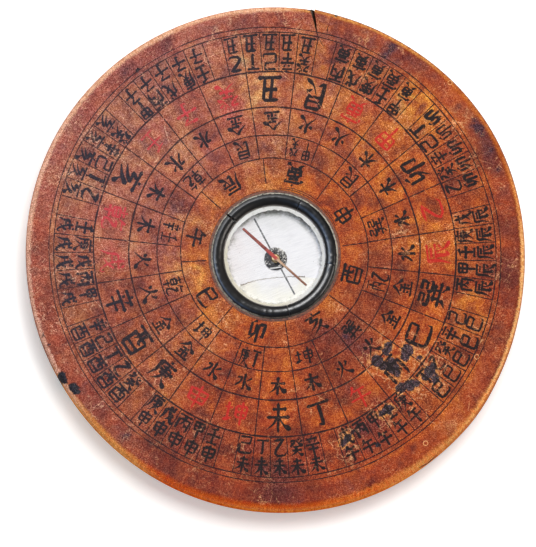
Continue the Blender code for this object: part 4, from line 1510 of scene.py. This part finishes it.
def bezel_profile():
    """The section: outer wall, bead, inner quarter of an ellipse, lip and the glass's rebate."""
    crest = BEZEL_RADIUS - BEAD
    bead = arc(crest, BEZEL_TOP_Z - BEAD, BEAD, 0, 90, 22)
    turn = np.linspace(0, np.pi / 2, 26)[1:]
    inward = (crest - OPENING - 0.08 * MM) * np.sin(turn)
    drop = (BEZEL_TOP_Z - LIP_Z - 0.1 * MM) * (1 - np.cos(turn))
    slope = np.column_stack([crest - inward, BEZEL_TOP_Z - drop])
    rebate = GLASS_RADIUS + ROOM
    under = [(OPENING + 0.02 * MM, LIP_Z), (OPENING, LIP_UNDER_Z), (rebate, LIP_UNDER_Z),
             (rebate, BEZEL_LOW_Z), (BEZEL_RADIUS, BEZEL_LOW_Z)]
    return np.concatenate([bead, slope, under])


def bezel_arc(number, finish):
    """One arc between two cracks, its surface wavering a little and its ends softly broken."""
    half = np.degrees(np.array(CRACK_WIDTHS) * MM / 2 / OPENING)
    start = CRACK_HEADINGS[number] + half[number]
    following = (number + 1) % len(CRACK_HEADINGS)
    end = CRACK_HEADINGS[following] + (360.0 if following == 0 else 0.0) - half[following]
    headings = np.linspace(start, end, round((end - start) * 1.2))
    profile = bezel_profile()
    loops = swept_loops(profile, headings, WELL)
    waver = np.abs(wobble(headings, range(2, 40, 5), 60 + number)) * BEZEL_WAVER
    broken = np.exp(-np.minimum(headings - start, end - headings) / BROKEN_REACH) * BROKEN_DEPTH
    share = np.clip((profile[:, 1] - LIP_UNDER_Z) / (BEZEL_TOP_Z - LIP_UNDER_Z), 0, 1)
    loops[..., 2] -= (waver + broken)[:, None] * share
    return lofted("black_bezel_%d" % (number + 1), loops, finish)


def near_right_shade(east, north):
    """Goes from 0 to 1 towards the near right of the well, where the pale line is dimmed as painted shade.
    """
    return (east * 0.5 - north * 0.87).rise(8, 16)


def bezel_material():
    f = Finish("black_lacquer_glossy")
    scuff = f.noise(1.6, 4, 0.7)
    dirt = f.noise(0.5, 3, 0.7)
    east, north, radius = f.about(WELL)
    side, opening = BEZEL_RADIUS / MM, OPENING / MM
    rim = (radius + dirt * 0.08 + scuff * 0.10).rise(side - 0.46, side - 0.34)
    # less pale wear towards the near right, as painted shade
    chipped = (dirt + scuff * 0.8).rise(-0.9, 0.2) * (near_right_shade(east, north) * -0.7 + 0.9)
    lip = (radius + dirt * 0.12).fall(opening + 0.05, opening + 0.5)
    # painted reflection: a faint brown-grey on the inner slope at the left
    inner = radius.fall(16.2, 17.2) * (east * -1).rise(-6, 14)
    dull = radius.rise(side - 1.5, side - 1.1) * (north * 0.9 - east * 0.45).rise(5, 13)
    colour = f.layers(
        (0.0015, 0.0015, 0.002),
        (scuff.rise(0.3, 1.2) * 0.25, (0.025, 0.018, 0.014)),
        # painted reflection on the left inner slope
        (inner * 0.3, (0.030, 0.025, 0.021)),
        (rim * chipped, (0.62, 0.60, 0.50)),
        (lip * 0.5, (0.16, 0.12, 0.085)))
    roughness = scuff * 0.03 + rim * 0.25 + dull * 0.30 + 0.30
    relief = f.bump(scuff * 0.6 + dirt * 0.2, 0.005)
    return f.done(f.surface(colour, roughness, Specular_IOR_Level=0.3, Normal=relief))


black_lacquer = bezel_material()
for number in range(len(CRACK_HEADINGS)):
    ring_arc = bezel_arc(number, black_lacquer)
    ring_arc.visible_shadow = False
    place_piece(ring_arc, "dial", "black_lacquer", "bezel_arc_%d" % (number + 1))

# %% [markdown]
# ## Putty, glass and packing
#
# The bezel is bedded in putty. It shows as a thin, broken, grey-white line along the black ring,
# and outside that line it is stained with the same lacquer as the wood and darkened as painted
# shade of the groove there. Under the bezel's lip lies the glass, and under the glass a ring of
# torn paper packs it against the pan. Where the paper runs under the bezel it is painted dark as
# the bezel's shadow, and on the right it is greyer as painted shade. Clear glass in a thin pane
# hardly bends light, so it is a mix of a see-through and a mirror shader, and the angle decides
# how much of each.

# %% Putty
PUTTY_GAP = 0.03 * MM
PUTTY_SAG = 0.10 * MM


def putty_material():
    f = Finish("dry_putty")
    grain = f.noise(0.55, 4, 0.8)
    crumb = f.noise(0.9, 3, 0.7)
    east, north, radius = f.about(WELL)
    side = BEZEL_RADIUS / MM
    # the lacquer's stain, darkened as painted shade of the groove between the bezel and the wood
    stain_and_groove_shade = f.mix((grain + crumb).rise(-0.9, 0.9), (0.050, 0.012, 0.006), (0.22, 0.060, 0.016))
    dry = f.mix(grain.rise(-0.5, 0.7), (0.24, 0.19, 0.15), (0.72, 0.69, 0.60))
    line = (radius + crumb * 0.08).fall(side + 0.06, side + 0.16)
    # less of the pale line towards the near right, as painted shade
    broken = (crumb + grain * 0.4).rise(-0.4, 0.5) * (near_right_shade(east, north) * -0.7 + 0.9)
    return f.done(f.surface(f.mix(line * broken, stain_and_groove_shade, dry), 0.85, Normal=f.bump(grain, 0.08)))


def putty_loops():
    """A low fillet that fills the seam between the bezel's side and the wood."""
    low, high = levels("bezel_putty")
    headings = np.arange(300) * 1.2
    inner = BEZEL_RADIUS + PUTTY_GAP
    outer = WELL_MOUTH - PUTTY_GAP
    crown = [(outer, low), (outer, FACE_Z - 0.02 * MM), ((inner + outer) / 2, high - 0.02 * MM),
             (inner + 0.05 * MM, high), (inner, high - 0.05 * MM), (inner, low)]
    loops = swept_loops(crown, headings, WELL)
    sag = np.clip(0.5 + 0.4 * wobble(headings, range(6, 70, 5), 71), 0, 1) * PUTTY_SAG
    loops[:, 1:5, 2] -= sag[:, None]
    return loops


place_piece(lofted("putty_line", putty_loops(), putty_material(), ring=True), "dial", "putty", "bezel_putty")

# %% Glass
def glass_material():
    f = Finish("clear_glass")
    clear = f.node("ShaderNodeBsdfTransparent", {}, {"Color": (1, 1, 1)})
    shine = f.node("ShaderNodeBsdfGlossy", {}, {"Roughness": 0.06})
    angle = f.node("ShaderNodeFresnel", {}, {"IOR": 1.5})
    return f.done(f.node("ShaderNodeMixShader", {}, {0: angle * 0.35, 1: clear, 2: shine}))


def glass_profile():
    """A disc with ground edges: in along the underside, round the rim and back over the top."""
    ease = 0.2 * MM
    radii = np.linspace(0.02, 0.9, 8) * GLASS_RADIUS
    under = [(radius, GLASS_LOW) for radius in radii] + [(GLASS_RADIUS - ease, GLASS_LOW)]
    rim = [(GLASS_RADIUS, GLASS_LOW + ease), (GLASS_RADIUS, GLASS_HIGH - ease)]
    over = [(GLASS_RADIUS - ease, GLASS_HIGH)] + [(radius, GLASS_HIGH) for radius in radii[::-1]]
    return under + rim + over


glass = lofted("glass_pane", turned_loops(glass_profile(), np.arange(180) * 2.0, WELL), glass_material())
place_piece(glass, "dial", "glass", "glass_cover")

# %% Packing ring
PACKING_INNER = GLASS_RADIUS - 2.25 * MM
TORN_DEPTH = 0.16 * MM
FRAYED_DEPTH = 0.07 * MM


def packing_material():
    f = Finish("torn_packing_paper")
    fibre = f.noise(0.35, 4, 0.75)
    cloud = f.noise(1.8, 3)
    east, north = f.place.part("X"), f.place.part("Y")
    # painted shadow: the paper is dark where it runs under the bezel
    painted_bezel_shadow = f.about(WELL)[2].rise(OPENING / MM, OPENING / MM + 0.4)
    colour = f.layers(
        (0.66, 0.62, 0.50),
        # painted shade: greyer towards the right
        ((east + north * 0.4).rise(-6, 8), (0.68, 0.69, 0.69)),
        ((north - east * 0.2).rise(4, 12), (0.80, 0.80, 0.78)),
        ((cloud + fibre * 0.6).rise(0.15, 1.0) * 0.6, (0.34, 0.33, 0.27)),
        (painted_bezel_shadow, (0.02, 0.018, 0.015)))
    return f.done(f.surface(colour, 0.9, Normal=f.bump(fibre, 0.05)))


def packing_loops():
    """A flat ring whose inner border is torn: its radius wavers at many frequencies."""
    low, high = levels("packing_ring")
    headings = np.arange(360) * 1.0
    outer = half_width("packing_ring")
    torn = np.abs(wobble(headings, range(3, 30, 4), 81)) * TORN_DEPTH
    torn += np.abs(wobble(headings, range(31, 110, 7), 82)) * FRAYED_DEPTH
    section = [(outer, low), (outer, high), ((outer + PACKING_INNER) / 2, high),
               (PACKING_INNER, high - 0.25 * MM), (PACKING_INNER, low)]
    loops = swept_loops(section, headings, WELL)
    inward = heading_vector(headings) * (PACKING_INNER + torn)[:, None] + WELL
    loops[:, 3:, :2] = inward[:, None]
    return loops


packing = lofted("ragged_packing", packing_loops(), packing_material(), ring=True)
place_piece(packing, "dial", "packing_paper", "packing_ring")

# %% [markdown]
# ## The silvered pan
#
# The compass stands in a shallow pan with a hollow cove round a flat floor. Its silver coat is
# brushed in one direction and stained, and a crack runs across the floor below the needle. The
# cove and the far side are darkened as painted shade, and a dark line at the top of the cove is a
# painted shadow of the packing's edge. The floor is a grid, so that its near part can lie a little
# lower along the crack.

# %% Pan
PAN_LOW, PAN_HIGH = levels("silvered_pan")
PAN_RADIUS = half_width("silvered_pan")
PAN_MOUTH = PAN_RADIUS - 1.5 * MM
PAN_FLOOR_RADIUS = PAN_MOUTH - 1.9 * MM
PAN_FLOOR_Z = PAN_LOW + 0.8 * MM
CRACK_PIXELS = ((228.0, 289.5), (240.6, 285.1), (256.0, 280.2), (273.3, 277.8),
                (290.0, 276.6), (304.8, 276.6), (320.0, 278.4))
CRACK_STEP = 0.05 * MM
BRUSHING = math.radians(20)      # the way that the coat is brushed, from east towards north


def below_crack(plan):
    """1 where a floor point lies on the near side of the crack, 0 on the far side."""
    line = photo_place(*np.array(CRACK_PIXELS).T, PAN_FLOOR_Z)
    north = np.interp(plan[..., 0], line[:, 0], line[:, 1])
    return np.clip((north - plan[..., 1]) / (0.12 * MM) + 0.5, 0, 1)


def cove_profile():
    """The hollow side of the pan: a quarter wave from its mouth down to its floor."""
    turn = np.linspace(0, np.pi / 2, 12)
    radius = PAN_MOUTH + (PAN_FLOOR_RADIUS - PAN_MOUTH) * (1 - np.cos(turn)) ** 0.9
    return np.column_stack([radius, PAN_HIGH + (PAN_FLOOR_Z - PAN_HIGH) * np.sin(turn) ** 1.1])


def pan_surface(plan):
    """The height of the pan's floor or side at some places."""
    radius = np.linalg.norm(plan - WELL, axis=-1)
    cove_radii, cove_heights = cove_profile()[::-1].T
    drop = below_crack(plan) * CRACK_STEP * (radius < PAN_FLOOR_RADIUS)
    return np.interp(radius, cove_radii, cove_heights) - drop


def pan_loops():
    """Wall, rim, cove and floor, down to the hole for the pivot."""
    headings = np.arange(240) * 1.5
    outside = [(PAN_RADIUS, PAN_LOW), (PAN_RADIUS, PAN_HIGH - 0.1 * MM), (PAN_RADIUS - 0.1 * MM, PAN_HIGH)]
    shell = turned_loops(np.concatenate([outside, cove_profile()]), headings, WELL)
    hole = turned_loops([(PIN_HOLE, PAN_FLOOR_Z)], headings, PIVOT)
    share = np.linspace(0, 1, 50)[1:, None, None]
    floor = shell[-1:] * (1 - share) + hole * share
    floor[..., 2] -= below_crack(floor[..., :2]) * CRACK_STEP
    well_hole = turned_loops([(PIN_HOLE, PAN_LOW)], headings, PIVOT)
    return np.concatenate([shell, floor, well_hole])


def pan_material():
    """Brush marks, yellowed, greyed and brown patches, dirt and painted shade in the cove, a painted shadow
    line, pinholes.
    """
    f = Finish("brushed_silver_coat")
    along = f.vector("DOT_PRODUCT", f.place, (math.cos(BRUSHING), math.sin(BRUSHING), 0))
    across = f.vector("DOT_PRODUCT", f.place, (-math.sin(BRUSHING), math.cos(BRUSHING), 0))
    brushed = f.node("ShaderNodeCombineXYZ", {}, {"X": along * 0.07, "Y": across, "Z": 0.0})
    scratch = f.noise(0.34, 3, 0.7, place=brushed)
    stroke = abs(f.noise(0.8, 1, 0.5, place=brushed)).fall(0.02, 0.10) * f.noise(5, 2).rise(-0.3, 0.4)
    cloud = f.noise(4.5, 4, 0.6)
    spot = f.noise(0.9, 4, 0.7)
    east, north, radius = f.about(WELL)
    floor_end = PAN_FLOOR_RADIUS / MM
    cove = radius.rise(floor_end - 1.2, floor_end + 0.2)
    # painted shadow: a dark line at the top of the cove, under the packing's edge
    seam = radius.rise(floor_end + 0.1, floor_end + 0.55)
    far = (north + east * 0.3).rise(0, 13)
    left = (east * -1).rise(3, 14)
    yellow = f.mix(scratch.rise(-0.9, 0.9), (0.72, 0.71, 0.63), (0.83, 0.82, 0.75))
    aged = f.attribute("near_side") * (radius.rise(5, 13) * 0.5 + left * 0.4 + 0.15)
    # dirt and painted shade in the cove, stronger towards the far side
    cove_dirt_and_shade = cove * (spot + cloud * 1.1 + far * 0.5 + left * 0.3).rise(-0.1, 1.2)
    pinhole = f.cells(1.6, "F1").fall(0.04, 0.09) * f.noise(3, 2).rise(-0.2, 0.5)
    colour = f.layers(
        (0.66, 0.66, 0.69),
        (scratch.rise(-1.0, 0.7), (0.78, 0.78, 0.80)),
        ((aged + cloud * 0.20).rise(0.2, 0.9), yellow),
        (stroke * ((east * -1).rise(-6, 6) * 0.20 + 0.12), (0.40, 0.40, 0.44)),
        # painted shade: greyer towards the far side
        ((north + cloud * 3).rise(5, 14) * 0.30, (0.46, 0.47, 0.45)),
        (left * (cloud * 0.4 + 0.5) * 0.5, (0.66, 0.54, 0.52)),
        ((cloud + spot * 0.6).rise(0.5, 1.3) * 0.35, (0.50, 0.47, 0.42)),
        (cove_dirt_and_shade * (far * 0.25 + 0.45), (0.26, 0.28, 0.24)),
        # painted shadow under the packing's edge
        (seam * (spot + cloud).rise(-0.6, 0.9) * 0.5, (0.14, 0.12, 0.09)),
        (pinhole * 0.7, (0.05, 0.04, 0.03)))
    relief = f.bump(scratch * 0.5 + spot * 0.3, 0.015)
    return f.done(f.surface(colour, scratch * 0.06 + 0.50, Specular_IOR_Level=0.4, Normal=relief))


pan = lofted("silver_pan", pan_loops(), pan_material())
write_attribute(pan, "near_side", below_crack(vertex_places(pan)[:, :2]))
place_piece(pan, "dial", "silvering", "silvered_pan")

# %% [markdown]
# ## Crack, meridian line and collar
#
# The crack is a dark open line that widens at its two ends. A thin line drawn across the pan marks
# the meridian that the needle should rest on. At its middle a small black-painted collar holds
# the pivot, with its paint worn through in white specks.

# %% Crack and meridian
MERIDIAN_HEADING = 332.0
MERIDIAN_START = 3.5             # from the pivot to its two ends, in millimetres
MERIDIAN_REACH = (13.7, 12.1)
MERIDIAN_SAMPLES = 40
CRACK_SAMPLES = 60
FLOOR_KEEL = -0.1 * MM


def floor_strips(name, lines, widths, lift, finish):
    """Thin closed strips that lie on the pan, with their keel under its surface."""
    level = pan_surface(lines)
    points, faces = strips(lines, widths, lambda plan: level, lift / 3, lift, FLOOR_KEEL)
    return place_piece(add_piece(name, points, faces, [], finish), "dial", "silvering")


def dark_material(name, dark, pale, size):
    f = Finish(name)
    return f.done(f.surface(f.mix(f.noise(size, 3, 0.7).rise(-0.4, 1.0), dark, pale), 0.8))


def crack_strip():
    """The crack's line between its end points, wavering, and wider towards both ends."""
    share = np.linspace(0, 1, CRACK_SAMPLES)
    spine = stations(photo_place(*np.array(CRACK_PIXELS).T, PAN_FLOOR_Z)[1:-1], CRACK_SAMPLES)
    spine[:, 1] += wobble(share * 360, range(5, 30, 3), 91) * 0.05 * MM
    width = 0.17 + 0.38 * np.abs(share * 2 - 1) ** 4 + 0.05 * wobble(share * 360, range(9, 40, 4), 92)
    return spine[None], np.maximum(width, 0.08)[None] * MM


def meridian_strips():
    """Two straight lines from beside the collar, one each way along the meridian."""
    share = np.linspace(0, 1, MERIDIAN_SAMPLES)
    radius = MERIDIAN_START + (np.array(MERIDIAN_REACH)[:, None] - MERIDIAN_START) * share
    way = heading_vector(np.array([MERIDIAN_HEADING, MERIDIAN_HEADING - 180]))[:, None]
    width = 0.50 + 0.06 * wobble(share * 360, range(5, 40, 4), 93)
    return way * radius[..., None] * MM + PIVOT, np.broadcast_to(width * MM, radius.shape)


crack_dirt = dark_material("crack_dirt", (0.07, 0.05, 0.03), (0.45, 0.36, 0.25), 0.8)
meridian_ink = dark_material("meridian_ink", (0.07, 0.07, 0.075), (0.32, 0.33, 0.35), 0.7)
floor_strips("floor_crack", *crack_strip(), 0.02 * MM, crack_dirt)
floor_strips("meridian_line", *meridian_strips(), 0.012 * MM, meridian_ink)

# %% Collar and pin
def collar_material():
    f = Finish("worn_black_paint")
    speck = f.noise(0.6, 4, 0.8, 0.8)
    cloud = f.noise(2.1, 3)
    east, north = f.place.part("X"), f.place.part("Y")
    right = (east + north * 0.5).rise(-0.8, 2.6)
    worn = (speck + cloud * 0.5 + right * 0.30).rise(0.34, 0.56)
    # a pale slanting line across the lower part of the collar
    slant = abs(north + east * -0.12 + 2.35 + speck * 0.06).fall(0.10, 0.24)
    pale_slant_line = slant * east.rise(-2.4, -1.6) * east.fall(1.4, 2.0)
    colour = f.layers(
        (0.012, 0.011, 0.012),
        (worn * 0.85, (0.74, 0.72, 0.68)),
        (pale_slant_line * 0.9, (0.80, 0.80, 0.80)))
    return f.done(f.surface(colour, 0.6, Specular_IOR_Level=0.3, Normal=f.bump(speck, 0.03)))


def collar_loops():
    """A flat washer with eased corners round the pin's hole."""
    low, high = levels("pivot_collar")
    outer = half_width("pivot_collar")
    section = [(outer, low), (outer, high - 0.12 * MM), (outer - 0.15 * MM, high - 0.03 * MM),
               (outer * 0.6, high), (PIN_HOLE + 0.1 * MM, high), (PIN_HOLE, high - 0.08 * MM),
               (PIN_HOLE, low)]
    return swept_loops(section, np.arange(96) * 3.75, PIVOT)


def steel_material():
    f = Finish("ground_steel")
    ring = f.noise(0.15, 2, 0.6, place=f.vector("MULTIPLY", f.place, (0.2, 0.2, 3)))
    colour = f.mix(ring.rise(-0.8, 0.8), (0.30, 0.30, 0.31), (0.52, 0.51, 0.50))
    return f.done(f.surface(colour, ring * 0.05 + 0.35, Metallic=1.0))


collar = lofted("worn_collar", collar_loops(), collar_material(), ring=True)
place_piece(collar, "dial", "black_paint", "pivot_collar")
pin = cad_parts["pivot_pin"]
pin.data.materials.clear()
pin.data.materials.append(steel_material())
print("the pin keeps its packed shape")

# %% [markdown]
# ## Needle and cap
#
# The needle is a thin steel bar, filed to a taper from the middle to both ends, with softly
# rounded edges. One half is painted red and the other has tarnished to copper brown, and both are
# darker along their sides. A small brass cap carries it on the pin's point. The photograph shows
# no shadow under the bar, so here it casts none, as the bezel's arcs cast none.

# %% Needle
NEEDLE_HEADING = 312.0
NEEDLE_LOW, NEEDLE_HIGH = levels("needle_bar")
NEEDLE_FORWARD = heading_vector(NEEDLE_HEADING)
NEEDLE_RIGHT = np.array([NEEDLE_FORWARD[1], -NEEDLE_FORWARD[0]])
NEEDLE_EASE = 0.1 * MM
RED_ARM = 13.2 * MM
BARE_ARM = 12.4 * MM
RED_WIDTHS = (0.80 * MM, 1.10 * MM)      # at the tip and at the middle
BARE_WIDTHS = (0.64 * MM, 0.76 * MM)


def needle_loops():
    """Eight-sided sections along the bar: the red arm is broader, and both tips are rounded."""
    along = np.concatenate([
        np.linspace(-BARE_ARM, -BARE_ARM + 0.5 * MM, 6),
        np.linspace(-BARE_ARM + 0.8 * MM, RED_ARM - 0.8 * MM, 80),
        np.linspace(RED_ARM - 0.5 * MM, RED_ARM, 6)])
    red = np.interp(along, [0, RED_ARM], RED_WIDTHS[::-1])
    bare = np.interp(-along, [0, BARE_ARM], BARE_WIDTHS[::-1])
    width = bare + (red - bare) / (1 + np.exp(-(along + 0.8 * MM) / (0.5 * MM)))
    end = np.minimum(along + BARE_ARM, RED_ARM - along) / (0.3 * MM)
    width *= np.sqrt(np.clip(1 - (1 - np.clip(end, 0, 1)) ** 2, 0.16, 1))
    low, high = NEEDLE_LOW + NEEDLE_EASE, NEEDLE_HIGH - NEEDLE_EASE
    side = np.array([-1, -1, -0.55, 0.55, 1, 1, 0.7, -0.7])
    height = np.array([low, high, NEEDLE_HIGH, NEEDLE_HIGH, high, low, NEEDLE_LOW, NEEDLE_LOW])
    across = (width[:, None] / 2 * side)[..., None] * NEEDLE_RIGHT
    return raised(across + along[:, None, None] * NEEDLE_FORWARD + PIVOT, height)


def needle_material():
    """Red paint on one arm and tarnish with bright spots on the other, both darker along the sides."""
    f = Finish("painted_needle")
    offset = f.vector("SUBTRACT", f.place, (*PIVOT / MM, 0))
    along = f.vector("DOT_PRODUCT", offset, (*NEEDLE_FORWARD, 0))
    aside = abs(f.vector("DOT_PRODUCT", offset, (*NEEDLE_RIGHT, 0)))
    rub = f.noise(0.7, 4, 0.7)
    fine = f.noise(0.3, 3, 0.7)
    taper = along.rise(-14, -2) * along.fall(2, 14) * 0.22 + 0.32 + along.fall(-3, 0) * -0.10
    # darker along both sides of the bar
    side = (aside - taper + rub * 0.08).rise(-0.10, 0.12) * 0.85
    red = f.layers(
        (0.11, 0.022, 0.018),
        ((rub + fine * 0.9).rise(-0.7, 0.7), (0.37, 0.080, 0.055)),
        (abs(along - 1.2).fall(1.0, 3.4) * 0.75, (0.44, 0.036, 0.030)),
        (side, (0.05, 0.018, 0.022)))
    bare = f.layers(
        (0.17, 0.055, 0.026),
        ((along + rub * 0.8).rise(-8.5, -2.0), (0.34, 0.21, 0.12)),
        ((fine + rub * 0.5).rise(0.1, 0.9) * 0.6, (0.62, 0.50, 0.42)),
        (side, (0.10, 0.035, 0.022)))
    painted = (along + rub * 0.35).rise(-0.9, -0.1)
    return f.done(f.surface(
        f.mix(painted, bare, red), 0.5 + fine * 0.05, Metallic=(1 - painted) * 0.25,
        Specular_IOR_Level=0.2, Normal=f.bump(rub * 0.4 + fine * 0.4, 0.02)))


needle = lofted("swinging_needle", needle_loops(), needle_material())
needle.visible_shadow = False
place_piece(needle, "compass_needle", "red_needle", "needle_bar")

# %% Cap
CROWN = 0.65 * MM


def cap_profile():
    """Inside of the hollow up to its point, then the skirt, the side and a domed crown."""
    low, high = levels("needle_cap")
    outer = half_width("needle_cap")
    hollow_top = high - 0.3 * MM
    shoulder = high - CROWN
    inside = [(0.02 * MM, hollow_top), (0.45 * MM, hollow_top - 0.45 * MM), (0.9 * MM, low)]
    skirt = [(outer - 0.08 * MM, low), (outer, low + 0.08 * MM), (outer, shoulder)]
    dome = arc(outer - CROWN, shoulder, CROWN, 15, 90, 8)
    return inside + skirt + dome.tolist() + [(0.05 * MM, high)]


def brass_material():
    f = Finish("tarnished_brass")
    cloud = f.noise(0.9, 4, 0.65)
    colour = f.mix(cloud.rise(-0.6, 0.8), (0.16, 0.10, 0.045), (0.44, 0.32, 0.17))
    return f.done(f.surface(colour, cloud * 0.05 + 0.42, Metallic=0.85))


cap = lofted("domed_cap", turned_loops(cap_profile(), np.arange(72) * 5.0, PIVOT), brass_material())
place_piece(cap, "compass_needle", "brass", "needle_cap")
